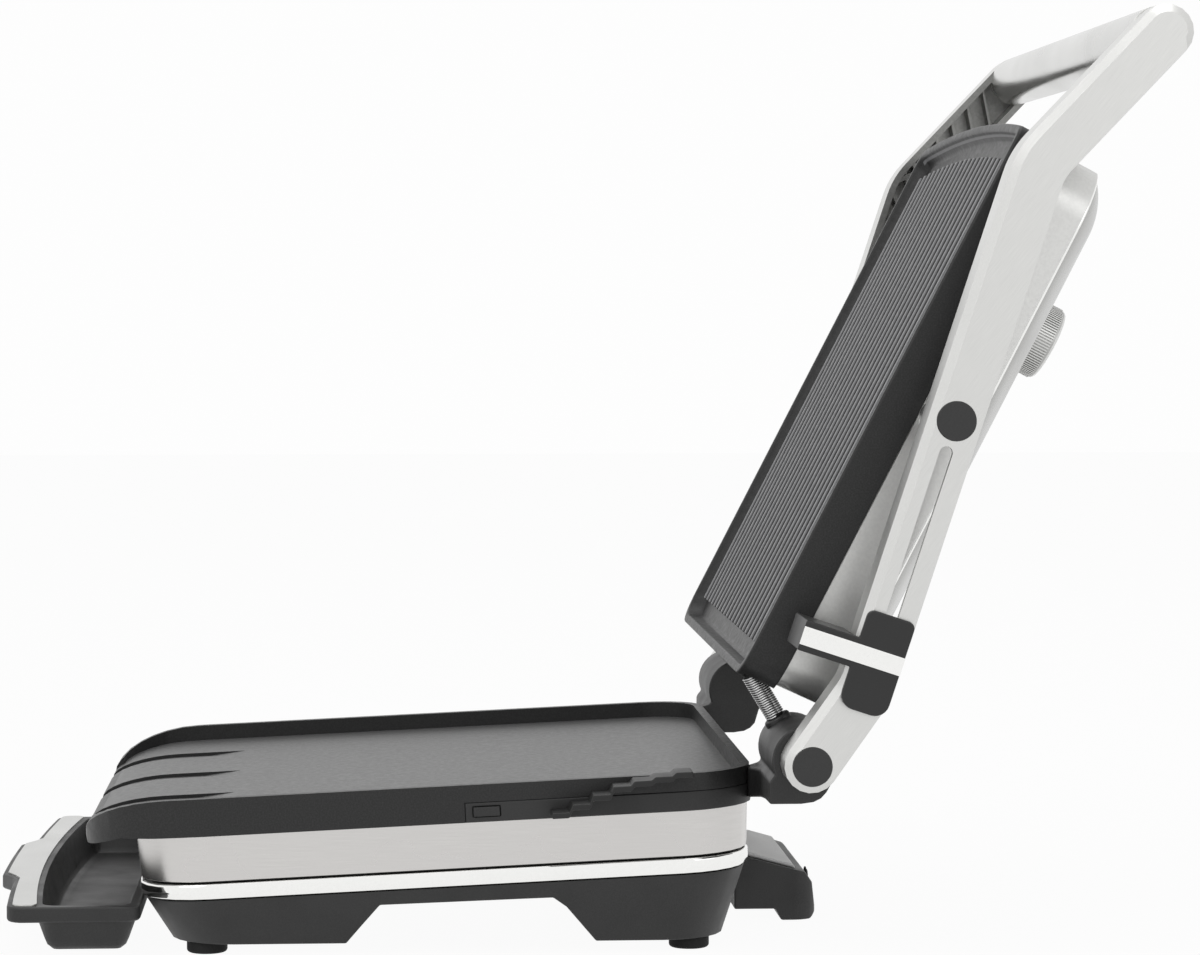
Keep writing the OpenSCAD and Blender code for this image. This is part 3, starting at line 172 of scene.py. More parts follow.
class GRILL_PG_sizes(bpy.types.PropertyGroup):
    """Edge rounding and small parts."""

    plastic_edge: length("Plastic edge", "Rounding on the edges of moulded pieces", 0.9)
    plate_edge: length("Plate edge", "Rounding on the edges of the cooking plates", 0.8)
    rib_edge: length("Rib edge", "Rounding on the ribs of the lid's plate", 0.35)
    metal_edge: length("Metal edge", "Rounding on the edges of sheet metal", 0.35)
    thin_edge: length("Thin edge", "Rounding on the thinnest sheets", 0.2)
    arm_edge: length("Arm edge", "Rounding on the edges of the arms", 0.9)
    cap_edge: length("Cap edge", "Rounding on the rims of the black caps", 0.35)
    lid_width: length("Lid width", "Width of the lid's plate", 280)
    lid_depth: length("Lid depth", "Depth of the lid from rear to front edge", 256)
    lid_corner: length("Lid corner", "Plan radius of the cover's front corners", 24)
    plate_front: length("Plate front corner", "Plan radius of the lid plate's front corners", 8)
    plate_rear: length("Plate rear corner", "Plan radius of the lid plate's rear corners", 14)
    lid_bulge: length("Lid bulge", "Bulge of the lid's front edge", 5.5)
    plate_wall: length("Plate wall", "Height of the lid plate's wall", 16.7)
    plate_rim: length("Plate rim", "Thickness of the wall round the ribs", 4)
    plate_floor: length("Plate floor", "Depth of the ribbed floor below the rim", 6.5)
    rib_count: count("Ribs", "Number of ribs on the lid's plate", 21)
    rib_height: length("Rib height", "Height of a rib", 3.6)
    rib_margin: length("Rib margin", "Flat band between the ribs' ends and the wall", 9)
    cover_rise: length("Cover rise", "Rise of the domed cover", 19)
    cover_end: length("Cover end", "Length of the cover's rounded ends", 20)
    bead_radius: length("Bead radius", "Radius of the bright bead round the cover", 0.8)
    wire_radius: length("Wire radius", "Radius of the wire in the conduit's sleeve", 0.46)
    sleeve_turns: count("Sleeve turns", "Turns of wire in the conduit's sleeve", 20)
    dial_grips: count("Dial grips", "Ridges round the dial", 84)
    grip_depth: length("Grip depth", "How far the dial's ridges stand out", 0.6)
    tray_length: length("Tray length", "Length of the drip tray", 276)
    tray_ledge: length("Tray ledge", "Width of the ledge that carries the tray's trim", 15)
    tray_bulge: length("Tray bulge", "Bulge of the tray's front edge", 4.5)
    basin_bulge: length("Basin bulge", "Bulge of the basin's front edge", 6.5)
    tray_corner: length("Tray corner", "Plan radius of the tray's corners", 6.5)
    tray_tab: length("Tray tab", "Half length of the tray's handle tab", 50)
    tab_reach: length("Tab reach", "How far the tray's tab stands out", 6)
    rim_height: length("Tray rim", "Height of the tray's rim", 6.5)
    tray_wall: length("Tray wall", "Wall of the tray", 2.2)
    tray_lift: length("Tray lift", "Height of the tray's underside above the counter", 4)
    trim_inset: length("Trim inset", "Tray's rim left bare round its trim", 2.4)
    root_rise: length("Root rise", "Rise of the hinge roots above the bezel's lower edge", 14)
    arm_ribs: count("Arm ribs", "Ribs inside the handle end of an arm", 6)
    screw_slot: length("Screw slot", "Width of the cross in a screw's head", 1.1)


class GRILL_PG_colours(bpy.types.PropertyGroup):
    """Colours of the main finishes."""

    plastic: colour("Plastic", "Black moulded plastic", "262626")
    plate: colour("Plate", "Non-stick coating of the plates", "292929")
    steel: colour("Steel", "Brushed steel of the skirt", "cfcdcb")
    chrome: colour("Chrome", "Bright trim", "f2f2f0")
    arm: colour("Arm", "Satin metal of the arms", "d6d6d4")
    shell: colour("Shell", "Silver case of the lid", "d8d8d6")
    cap: colour("Cap", "Black caps and strip", "2a2a2a")
    floor: colour("Floor", "Floor and backdrop", "ffffff")


def sizes():
    """The sizes that the panel shows."""
    return bpy.context.scene.grill_sizes


def colours():
    """The colours that the panel shows."""
    return bpy.context.scene.grill_colours


def add_node(tree, kind, inputs=None, **settings):
    """Adds a node with its settings. Each input is linked to a node or an output, or set to a value."""
    node = tree.nodes.new(kind)
    for key, value in settings.items():
        setattr(node, key, value)
    for key, value in (inputs or {}).items():
        if isinstance(value, bpy.types.Node):
            value = value.outputs[0]
        if isinstance(value, bpy.types.NodeSocket):
            tree.links.new(value, node.inputs[key])
        else:
            node.inputs[key].default_value = value
    return node


def new_material(name):
    """A material with its node tree, and the piece's own coordinates in millimetres."""
    material = bpy.data.materials.new(name)
    material.use_nodes = True
    tree = material.node_tree
    own = add_node(tree, "ShaderNodeTexCoord").outputs["Object"]
    scaled = add_node(tree, "ShaderNodeVectorMath", {0: own, "Scale": 1 / MM}, operation="SCALE")
    return material, tree, scaled


def pattern(tree, position, size, stretch=(1, 1, 1), turn=0.0, detail=3.0):
    """Noise with features of a size in millimetres, drawn out by stretch after a turn about X."""
    drawn_out = {"Vector": position, "Rotation": (turn, 0, 0), "Scale": stretch}
    mapping = add_node(tree, "ShaderNodeMapping", drawn_out, vector_type="TEXTURE")
    return add_node(tree, "ShaderNodeTexNoise", {"Vector": mapping, "Scale": 1 / size, "Detail": detail})


def tones(tree, value, tint, low, high, start=0.35, end=0.65):
    """A tint that goes from one share of its lightness to another as a pattern rises."""
    share = add_node(tree, "ShaderNodeMapRange", {"Value": value, "From Min": start, "From Max": end})
    dark, light = ([min(c * factor, 1) for c in tint] + [1] for factor in (low, high))
    mix = add_node(tree, "ShaderNodeMix", {"Factor": share, 6: dark, 7: light}, data_type="RGBA")
    return mix.outputs[2]


def paint(tree, tint, clouds, rough, relief_of, relief, sockets):
    """Gives the surface its colour, a gloss that changes with clouds, and relief in millimetres."""
    surface = tree.nodes["Principled BSDF"]
    # Noise seldom leaves 0.3 to 0.7, so that span stands for all of it
    span = {"From Min": 0.3, "From Max": 0.7, "To Min": rough[0], "To Max": rough[1]}
    gloss = add_node(tree, "ShaderNodeMapRange", {"Value": clouds, **span})
    bump = add_node(tree, "ShaderNodeBump", {"Strength": 1, "Distance": relief * MM, "Height": relief_of})
    for key, output in (("Base Color", tint), ("Roughness", gloss.outputs[0]), ("Normal", bump.outputs[0])):
        tree.links.new(output, surface.inputs[key])
    for key, value in sockets.items():
        surface.inputs[key].default_value = value


def grained(name, tint, size, detail, cloud, contrast, rough, relief, sockets, stretch=(1, 1, 1), turn=0.0):
    """Fine grain in colour and relief, slow clouds in gloss. Sizes are in millimetres."""
    material, tree, position = new_material(name)
    fine = pattern(tree, position, size, stretch, turn, detail)
    clouds = pattern(tree, position, cloud)
    paint(tree, tones(tree, fine, tint, 1 - contrast, 1 + contrast), clouds, rough, fine, relief, sockets)
    return material


def moulded(name, tint, rough=(0.42, 0.58), size=0.5, relief=0.02, contrast=0.25, specular=0.5):
    """Plastic or rubber from a spark-eroded mould. Its real grain, about 0.1 mm, is drawn coarser to show."""
    return grained(name, tint, size, 4, 22, contrast, rough, relief, {"Specular IOR Level": specular})


def brushed(name, tint, stretch, turn=0.0, rough=(0.24, 0.36), contrast=0.07, size=0.35, relief=0.004):
    """Metal brushed with 180 grit along the axis that stretch draws out. Real lines, about 0.08 mm wide, are
    drawn coarser to show."""
    return grained(name, tint, size, 5, 45, contrast, rough, relief, {"Metallic": 1.0}, stretch, turn)


def satin(name, tint, rough=(0.3, 0.4), metallic=1.0, contrast=0.03, coat=0.0):
    """Plated, painted or cast metal without a direction. Its unevenness is that of a 1.4 mm orange peel."""
    sockets = {"Metallic": metallic, "Coat Weight": coat}
    return grained(name, tint, 1.4, 4, 30, contrast, rough, 0.003, sockets)


def coated(name, tint, rough, fleck, relief, wear_and_highlight=None, zones=()):
    """Non-stick coating on cast metal, with flecks of about 0.7 mm over a casting's 2.6 mm unevenness, and
    a paler tone for wear and a painted highlight where all the zones meet."""
    material, tree, position = new_material(name)
    flecks = pattern(tree, position, 0.7, detail=6)
    cast = pattern(tree, position, 2.6)
    tint = tones(tree, flecks, tint, 1 - fleck / 2, 1 + fleck, 0.4, 0.72)
    if zones:
        pale = tones(tree, flecks, wear_and_highlight, 0.86, 1.12, 0.4, 0.72)
        mask = 1.0
        for zone in zones:
            for end in zone_ends(tree, position, *zone):
                mask = add_node(tree, "ShaderNodeMath", {0: mask, 1: end}, operation="MULTIPLY")
        mix = add_node(tree, "ShaderNodeMix", {"Factor": mask, 6: tint, 7: pale}, data_type="RGBA")
        tint = mix.outputs[2]
    paint(tree, tint, cast, rough, cast, relief, {"Specular IOR Level": 0.35})
    return material


def zone_ends(tree, position, origin, normal, low, high, soft=0.4):
    """1 above the lower and below the upper of two heights over a plane in millimetres, with soft ends."""
    height = add_node(tree, "ShaderNodeVectorMath", {0: position, 1: normal}, operation="DOT_PRODUCT")
    over = {"Value": height.outputs["Value"]}
    ground = origin.dot(normal) / MM
    return [
        add_node(tree, "ShaderNodeMapRange", {**over, "From Min": ground + start, "From Max": ground + end})
        for start, end in ((low - soft, low), (high + soft, high))
    ]


def rib_zones():
    """The ribs' tops, paler for wear and a painted highlight, by their depth below the lid's rim and their
    reach across it.
    """
    turned = lid_matrix()
    s = sizes()
    up, across, along = (
        (turned.to_3x3() @ Vector(axis)).normalized() for axis in ((0, 0, 1), (1, 0, 0), (0, 1, 0))
    )
    half = (s.lid_width / 2 - 1.6 * s.plate_rim) / MM
    top = (s.plate_floor - s.rib_height) / MM
    front = -(s.lid_depth + s.lid_bulge) / MM
    rear = 1 - (s.plate_rim + s.rib_margin) / MM
    # The wear and the painted highlight reach from above a rib's top to 0.35 mm down its sides
    return [
        (turned.translation, up, top - 0.6, top + 0.35),
        (turned.translation, across, -half, half),
        (turned.translation, along, front, rear),
    ]


# Every material, by the finish that it gives
FINISH = {}


def finishes():
    """Makes the materials, each named for what the real one is and how its surface was made."""
    c = colours()
    x_lines, y_lines = (70, 1, 1), (1, 60, 1)
    FINISH.update(
        # Glass-filled nylon from a spark-eroded mould: dull near-black with a fine even grain
        plastic=moulded("Moulded black nylon", c.plastic),
        # The same nylon on the rack's steps, darkened with painted shade
        rack=moulded("Moulded black nylon in painted shade", linear("131313"), contrast=0.12),
        # ABS from a polished mould: black with a soft broad highlight
        gloss_plastic=moulded("Polished black ABS", c.cap, (0.3, 0.42), 0.8, 0.006, 0.1),
        # ABS from a lightly etched mould: black, between the two above in gloss
        slider=moulded("Moulded black ABS", linear("1e1e1e"), (0.34, 0.46), relief=0.01, contrast=0.1),
        # ABS coloured in the mass: pale, even and dull
        rear_cover=moulded("Moulded pale grey ABS", linear("d4d4d4"), contrast=0.05, relief=0.012),
        # Moulded silicone rubber: black with hardly any highlight
        rubber=moulded("Moulded black rubber", linear("262626"), (0.7, 0.85), 0.5, 0.01, 0.12, 0.3),
        # Extruded silicone hose: the dark gaps between the wires
        liner=moulded("Extruded black silicone", linear("151515"), (0.6, 0.7), contrast=0.1),
        # Sprayed non-stick coating on die-cast aluminium: black eggshell with tiny flecks
        plate=coated("Non-stick coating", c.plate, (0.36, 0.46), 0.4, 0.02),
        # The same coating, mid grey and smoother, with a painted reflection of the overhead light on the
        # floor
        plate_floor=coated("Coating with painted floor reflection", linear("585858"), (0.36, 0.44), 0.3, 0.006),
        # The same coating, pale on the ribs' tops from wear and a painted highlight, and black between them
        ribs=coated("Coating with rib-top wear and painted highlight", c.plate, (0.36, 0.48), 0.4, 0.02, linear("8c8c8e"), rib_zones()),
        # Stainless sheet, brushed along the walls: warm pale grey with long faint lines
        steel=brushed("Brushed stainless skirt", c.steel, (60, 60, 1), 0, (0.24, 0.3), 0.02, 0.25, 0.001),
        # Stainless sheet, brushed across: darker, since it faces away from the lamps
        cover=brushed("Brushed stainless cover", linear("b6b6b4"), (80, 1, 1), 0, (0.22, 0.32), 0.05, 0.3),
        # Stainless tube, brushed along: a long soft highlight
        handle=brushed("Brushed stainless tube", linear("d0d0ce"), x_lines, 0, (0.2, 0.3), 0.02, 0.25),
        # Anodised aluminium strip, brushed along: mid grey with a wide highlight
        trim=brushed("Brushed anodised trim", linear("c6c6c4"), x_lines, 0, (0.26, 0.38), 0.03, 0.25),
        # Die-cast aluminium, linished along the arm: pale satin with faint lines
        arm=brushed("Linished cast aluminium", c.arm, (1, 40, 1), math.radians(52), (0.3, 0.4), 0.03, 0.25),
        # Turned steel: rings too fine to show, so an even mid grey shine
        pin=brushed("Turned steel", linear("9c9c9c"), (1, 1, 1), size=0.8),
        # Nickel alloy tube, drawn and then heated: brownish and dull
        element=brushed("Heated nickel alloy", linear("6b6258"), y_lines, rough=(0.4, 0.55)),
        # Aluminium sheet as rolled: pale with blurred reflections
        shield=brushed("Rolled aluminium", linear("b9b9b9"), (60, 1, 1), rough=(0.35, 0.5)),
        # Aluminium inside the arms, grey and grainy, darkened with painted shade
        arm_inside=satin("Aluminium in painted shade", linear("8e8e8c"), (0.3, 0.5), contrast=0.08),
        # Chrome plate on a smooth ground: near-white mirror
        chrome=satin("Chrome plate", c.chrome, (0.06, 0.12), contrast=0.01),
        # Metallic lacquer on sheet steel: silver with blurred reflections
        shell=satin("Silver lacquered steel", c.shell, (0.28, 0.36), metallic=0.85),
        # Metallic lacquer on ABS under clear lacquer: pale silver
        dial=satin("Silver lacquered ABS", linear("e6e6e4"), (0.3, 0.42), 0.6, coat=0.2),
        # The same lacquer between the ridges, darkened with painted shade
        dial_band=satin("Silver lacquer in painted groove shade", linear("c2c2c0"), (0.35, 0.45), 0.6),
        # Stamped brass: pale yellow with a soft shine
        brass=satin("Stamped brass", linear("c7b37a"), (0.28, 0.4)),
        # Drawn steel wire: bright lines on each turn
        sleeve=satin("Drawn steel wire", linear("bdbdbd"), (0.2, 0.3)),
    )


def new_piece(name, mesh, material):
    """An object at the origin, with its place in its mesh and one material."""
    mesh.materials.clear()
    mesh.materials.append(material)
    piece = bpy.data.objects.new(name, mesh)
    bpy.context.scene.collection.objects.link(piece)
    return piece


def to_mesh(bm, name):
    """Turns a bmesh into a mesh and frees it."""
    mesh = bpy.data.meshes.new(name)
    bm.to_mesh(mesh)
    bm.free()
    return mesh


def points_mesh(name, points):
    """Loose points for a geometry node tree to build on."""
    mesh = bpy.data.meshes.new(name)
    mesh.from_pydata([tuple(p) for p in points], [], [])
    return mesh


def merged(node):
    """A copy of a CAD node's mesh as one closed skin, with its flat faces whole."""
    bm = bmesh.new()
    bm.from_mesh(frame["nodes"][node].data)
    bmesh.ops.remove_doubles(bm, verts=bm.verts, dist=WELD)
    bmesh.ops.dissolve_limit(bm, angle_limit=FLAT_ANGLE, verts=bm.verts, edges=bm.edges)
    return to_mesh(bm, node + "_skin")


def loft(name, rings, closed=False):
    """A skin through rings of points, capped at its ends or closed on itself. One point is a pole."""
    bm = bmesh.new()
    loops = [[bm.verts.new(point) for point in ring] for ring in rings]
    steps = max(len(loop) for loop in loops)
    for low, high in zip(loops, loops[1:] + (loops[:1] if closed else [])):
        for i in range(steps):
            j = (i + 1) % steps
            corners = [low[i % len(low)], low[j % len(low)], high[j % len(high)], high[i % len(high)]]
            bm.faces.new(list(dict.fromkeys(corners)))
    if not closed:
        for end in (loops[0][::-1], loops[-1]):
            if len(end) > 1:
                bm.faces.new(end)
    bmesh.ops.recalc_face_normals(bm, faces=bm.faces)
    return to_mesh(bm, name)


def raised(outline, z):
    """A flat outline at a height."""
    return [(x, y, z) for x, y in outline]


def arc(x, y, radius, start, end, steps=6):
    """Points of an arc, angles in degrees."""
    angles = [math.radians(start + (end - start) * i / steps) for i in range(steps + 1)]
    return [(x + radius * math.cos(a), y + radius * math.sin(a)) for a in angles]


def eased(start, end, steps):
    """Places from start to end that crowd towards both."""
    return [start + (end - start) * (1 - math.cos(math.pi * i / steps)) / 2 for i in range(steps + 1)]


def corner_draw(into, radius):
    """How far a rounded corner draws an edge in, at a way into the corner."""
    return radius - math.sqrt(max(radius**2 - max(into, 0) ** 2, 0))


def lathe(name, profile, steps, material):
    """A closed round piece about Z through (radius, height) points, poles closed."""
    turns = [math.tau * i / steps for i in range(steps)]
    rings = [
        [(radius * math.cos(a), radius * math.sin(a), height) for a in (turns if radius else [0])]
        for radius, height in profile
    ]
    return new_piece(name, loft(name, rings), material)


def apply_modifiers(piece):
    """Turns what the modifiers make into the piece's own mesh."""
    bpy.context.view_layer.update()
    graph = bpy.context.evaluated_depsgraph_get()
    done = bpy.data.meshes.new_from_object(piece.evaluated_get(graph))
    piece.modifiers.clear()
    piece.data = done
    return piece


def smooth(piece, angle=SHARP_ANGLE):
    """Shades the round faces smooth and leaves true edges sharp."""
    piece.data.shade_smooth()
    piece.data.set_sharp_from_angle(angle=angle)
    return piece


def rounded(piece, width, segments=2, angle=32):
    """Rounds the edges that are sharper than an angle in degrees."""
    bevel = piece.modifiers.new("edges", "BEVEL")
    bevel.width = width
    bevel.segments = segments
    bevel.limit_method = "ANGLE"
    bevel.angle_limit = math.radians(angle)
    bevel.use_clamp_overlap = True
    smooth(apply_modifiers(piece))
    weighted = piece.modifiers.new("flat faces", "WEIGHTED_NORMAL")
    weighted.keep_sharp = True
    weighted.weight = 100
    return apply_modifiers(piece)


def joined(name, pieces, material):
    """One piece from several."""
    bm = bmesh.new()
    for piece in pieces:
        bm.from_mesh(piece.data)
        bpy.data.objects.remove(piece)
    return new_piece(name, to_mesh(bm, name), material)


def cut(piece, low, high):
    """Takes a box out of a piece."""
    bm = bmesh.new()
    place_of = Matrix.Translation((low + high) / 2) @ Matrix.Diagonal((*(high - low), 1))
    bmesh.ops.create_cube(bm, size=1, matrix=place_of)
    cutter = new_piece("cutter", to_mesh(bm, "cutter"), FINISH["ribs"])
    boolean = piece.modifiers.new("cut", "BOOLEAN")
    boolean.operation = "DIFFERENCE"
    boolean.solver = "EXACT"
    boolean.object = cutter
    apply_modifiers(piece)
    bpy.data.objects.remove(cutter)
    return piece


def place(piece, matrix):
    """Moves the piece's mesh, so that the object itself stays at the origin."""
    piece.data.transform(matrix)
    piece.data.update()
    return piece


def stood(at, axis):
    """Matrix that stands something drawn along Z at a place, along an axis."""
    return Matrix.Translation(at) @ Vector((0, 0, 1)).rotation_difference(axis).to_matrix().to_4x4()


def second_tone(piece, material, chosen):
    """Gives the chosen faces a second material."""
    piece.data.materials.append(material)
    for face in piece.data.polygons:
        if chosen(face):
            face.material_index = 1


def seat(piece, *nodes):
    """Lets a finished piece stand for CAD nodes, on their body."""
    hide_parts(*nodes)
    return attach(piece, nodes[0])


def attach(piece, node):
    """Lets a finished piece ride with a CAD node."""
    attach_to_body(piece, body_of_node(node))
    return piece


def body_of_node(node):
    """The body that carries a CAD node."""
    return next(body for body, nodes in frame["record"]["behaviour"]["bodies"].items() if node in nodes)


def joint(name):
    """Where a joint stands in the row frame, and along which axis it turns or slides."""
    found = next(entry for entry in frame["record"]["behaviour"]["joints"] if entry["name"] == name)
    return Vector(found["pos_m"]), Vector(found["axis"]).normalized()


def dress(node, name, finish, edge, segments=2, angle=32):
    """A piece like a CAD node with its edges rounded."""
    return seat(rounded(new_piece(name, merged(node), FINISH[finish]), edge, segments, angle), node)


def keep(node, finish):
    """Gives a CAD node that stays as it is its finish."""
    for slot in frame["nodes"][node].material_slots:
        slot.material = FINISH[finish]


def new_tree(name, **inputs):
    """A geometry node tree with named inputs, and the outputs that give them."""
    tree = bpy.data.node_groups.new(name, "GeometryNodeTree")
    tree.interface.new_socket(name="Geometry", in_out="INPUT", socket_type="NodeSocketGeometry")
    tree.interface.new_socket(name="Geometry", in_out="OUTPUT", socket_type="NodeSocketGeometry")
    for label, kind in inputs.items():
        tree.interface.new_socket(name=label, in_out="INPUT", socket_type="NodeSocket" + kind)
    return tree, add_node(tree, "NodeGroupInput").outputs


def build(tree, geometry, mesh, finish, **values):
    """Ends a tree in real geometry with a material, and makes a plain mesh piece of it."""
    material = FINISH[finish]
    real = add_node(tree, "GeometryNodeRealizeInstances", {"Geometry": geometry})
    painted = add_node(tree, "GeometryNodeSetMaterial", {"Geometry": real, "Material": material})
    add_node(tree, "NodeGroupOutput", {0: painted})
    piece = new_piece(mesh.name, mesh, material)
    modifier = piece.modifiers.new("build", "NODES")
    modifier.node_group = tree
    keys = {item.name: item.identifier for item in tree.interface.items_tree if item.in_out == "INPUT"}
    for label, value in values.items():
        modifier[keys[label]] = value
    return apply_modifiers(piece)


class GRILL_OT_stage(bpy.types.Operator):
    """Floor, studio light and camera"""

    bl_idname = "grill.stage"
    bl_label = "Studio"

    def execute(self, context):
        scene = context.scene
        scene.view_settings.view_transform = "Standard"
        studio_floor()
        studio_world(scene)
        for entry in LAMPS:
            lamp(*entry)
        camera(scene)
        return {"FINISHED"}


def seen_directly(tree):
    """1 where a ray is the camera's, or shows the background in metal or glass."""
    path = add_node(tree, "ShaderNodeLightPath").outputs
    total = path["Is Camera Ray"]
    for label in ("Is Glossy Ray", "Is Transmission Ray"):
        total = add_node(tree, "ShaderNodeMath", {0: total, 1: path[label]}, operation="MAXIMUM")
    return total


def studio_floor():
    """A pale matt floor that shows as its own white, apart from the object's shadow."""
    corners = [(x * FLOOR_HALF, y * FLOOR_HALF, 0) for x, y in ((-1, -1), (1, -1), (1, 1), (-1, 1))]
    mesh = bpy.data.meshes.new("studio_floor")
    mesh.from_pydata(corners, [], [(0, 1, 2, 3)])
    # Matt painted board: no highlight, so only the shadow shows
    material = bpy.data.materials.new("Matt painted board")
    material.use_nodes = True
    tree = material.node_tree
    surface = tree.nodes["Principled BSDF"]
    surface.inputs["Base Color"].default_value = (*linear("efefef"), 1)
    surface.inputs["Roughness"].default_value = 0.9
    glow = add_node(tree, "ShaderNodeEmission", {"Color": (*colours().floor, 1)})
    share = add_node(tree, "ShaderNodeMath", {0: seen_directly(tree), 1: FLOOR_SEEN}, operation="MULTIPLY")
    mix = add_node(tree, "ShaderNodeMixShader", {0: share, 1: surface, 2: glow})
    tree.links.new(mix.outputs[0], tree.nodes["Material Output"].inputs["Surface"])
    new_piece("studio_floor", mesh, material)


def studio_world(scene):
    """Even light from all round, which shows as white behind the object."""
    scene.world = bpy.data.worlds.new("Studio")
    scene.world.use_nodes = True
    tree = scene.world.node_tree
    sky = tree.nodes["Background"]
    sky.inputs["Color"].default_value = (*colours().floor, 1)
    span = {"To Min": SKY_LIGHT, "To Max": SKY_SEEN}
    level = add_node(tree, "ShaderNodeMapRange", {"Value": seen_directly(tree), **span})
    tree.links.new(level.outputs[0], sky.inputs["Strength"])


def lamp(name, position, target, size, power):
    """A square softbox that looks at a point."""
    data = bpy.data.lights.new(name, "AREA")
    data.size = size
    data.energy = power
    light = bpy.data.objects.new(name, data)
    light.location = position
    light.rotation_euler = (Vector(target) - Vector(position)).to_track_quat("-Z", "Y").to_euler()
    bpy.context.scene.collection.objects.link(light)


def camera(scene):
    """The photograph's view: from the right, a little above the counter."""
    data = bpy.data.cameras.new("Photograph")
    data.lens = FOCAL_PIXELS / FRAME_PIXELS * SENSOR_MM
    data.sensor_width = SENSOR_MM
    view = bpy.data.objects.new("Photograph", data)
    view.location = CAMERA_PLACE
    level = math.cos(CAMERA_PITCH)
    look = Vector((-math.cos(CAMERA_YAW) * level, math.sin(CAMERA_YAW) * level, -math.sin(CAMERA_PITCH)))
    view.rotation_euler = look.to_track_quat("-Z", "Y").to_euler()
    scene.collection.objects.link(view)
    scene.camera = view


class GRILL_OT_base(bpy.types.Operator):
    """Tub, bezel, feet, rear housing, rack and button"""

    bl_idname = "grill.base"
    bl_label = "Base mouldings"

    def execute(self, context):
        edge = sizes().plastic_edge
        dress("base_tub", "tub_moulding", "plastic", edge * 1.6, 3)
        dress("base_bezel", "bezel_frame", "plastic", edge * 0.6)
        # The rack's steps take the nylon darkened with painted shade
        dress("height_rack", "stepped_rack", "rack", edge * 0.5)
        dress("release_button", "plate_release", "plastic", edge * 0.5)
        dress("rear_housing", "cord_housing", "plastic", edge * 1.5, 3)
        dress("rear_housing_cover", "housing_lid", "rear_cover", edge * 0.8)
        gland = dress("cord_gland", "gland_ring", "rubber", edge * 0.4)
        wall = Matrix.Translation((0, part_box("cord_gland")[0].y, 0))
        place(gland, wall @ Matrix.Scale(GLAND_SHARE, 4, (0, 1, 0)) @ wall.inverted())
        bracket(-1, "hinge_bracket_left", "left_bracket")
        bracket(1, "hinge_bracket_right", "right_bracket")
        feet()
        screws("base_screws", "base_screw_heads", -1)
        return {"FINISHED"}


def bracket(side, node, name):
    """A hinge knuckle on a neck that runs into the bezel's rounded rear corner."""
    low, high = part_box("hinge_bracket_right")
    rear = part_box("base_bezel")[1].y
    centre = joint("lid_hinge")[0]
    top = low.z + sizes().root_rise
    rings = []
    for x, ahead, lift in BRACKET_SECTIONS:
        front, under = rear + ahead * MM, low.z + lift * MM
        outline = [(front, top - NECK_DROP), (front, under)]
        outline += [(centre.y + back * MM, under + rise * MM) for back, rise in BRACKET_HEEL]
        outline += arc(centre.y, centre.z, high.y - centre.y, *KNUCKLE_ARC, 28)
        outline.append((rear + NECK_BACK, top + NECK_RISE))
        rings.append([(side * x * MM, y, z) for y, z in outline])
    piece = rounded(new_piece(name, loft(name, rings), FINISH["plastic"]), sizes().plastic_edge, 3)
    if side > 0:
        piece = smooth(joined(name, [piece, conduit_boss()], FINISH["plastic"]))
    seat(piece, node)


def conduit_boss():
    """The round boss that the conduit stands in, sunk into the right knuckle."""
    axis, start, _, tube = rod_of("conduit_liner")
    reach = tube + BOSS_WALL
    profile = [(0, -BOSS_DEPTH), (reach, -BOSS_DEPTH)] + arc(reach - MM, -MM, MM, 0, 90) + [(0, 0)]
    return place(lathe("conduit_boss", profile, 32, FINISH["plastic"]), stood(start, axis))


def feet():
    """Four rubber feet with rounded rims and a shallow ring underneath."""
    low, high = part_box("base_feet")
    spots = sorted(v.co.y for v in frame["nodes"]["base_feet"].data.vertices)
    middle = (low.y + high.y) / 2
    diameter = max(y for y in spots if y < middle) - low.y
    radius = diameter / 2
    fillet, recess, ridge = radius / 6, radius * 0.55, radius * 0.62
    profile = [(0, fillet), (recess, fillet)]
    profile += arc(ridge + fillet, fillet / 2, fillet / 2, 180, 270)
    profile += arc(radius - fillet, fillet, fillet, 270, 360)
    profile += [(radius, high.z - low.z), (0, high.z - low.z)]
    pieces = [
        place(lathe("foot", profile, 40, FINISH["rubber"]), Matrix.Translation((x, y, low.z)))
        for x in (low.x + radius, high.x - radius)
        for y in (low.y + radius, high.y - radius)
    ]
    seat(smooth(joined("rubber_feet", pieces, FINISH["rubber"])), "base_feet")


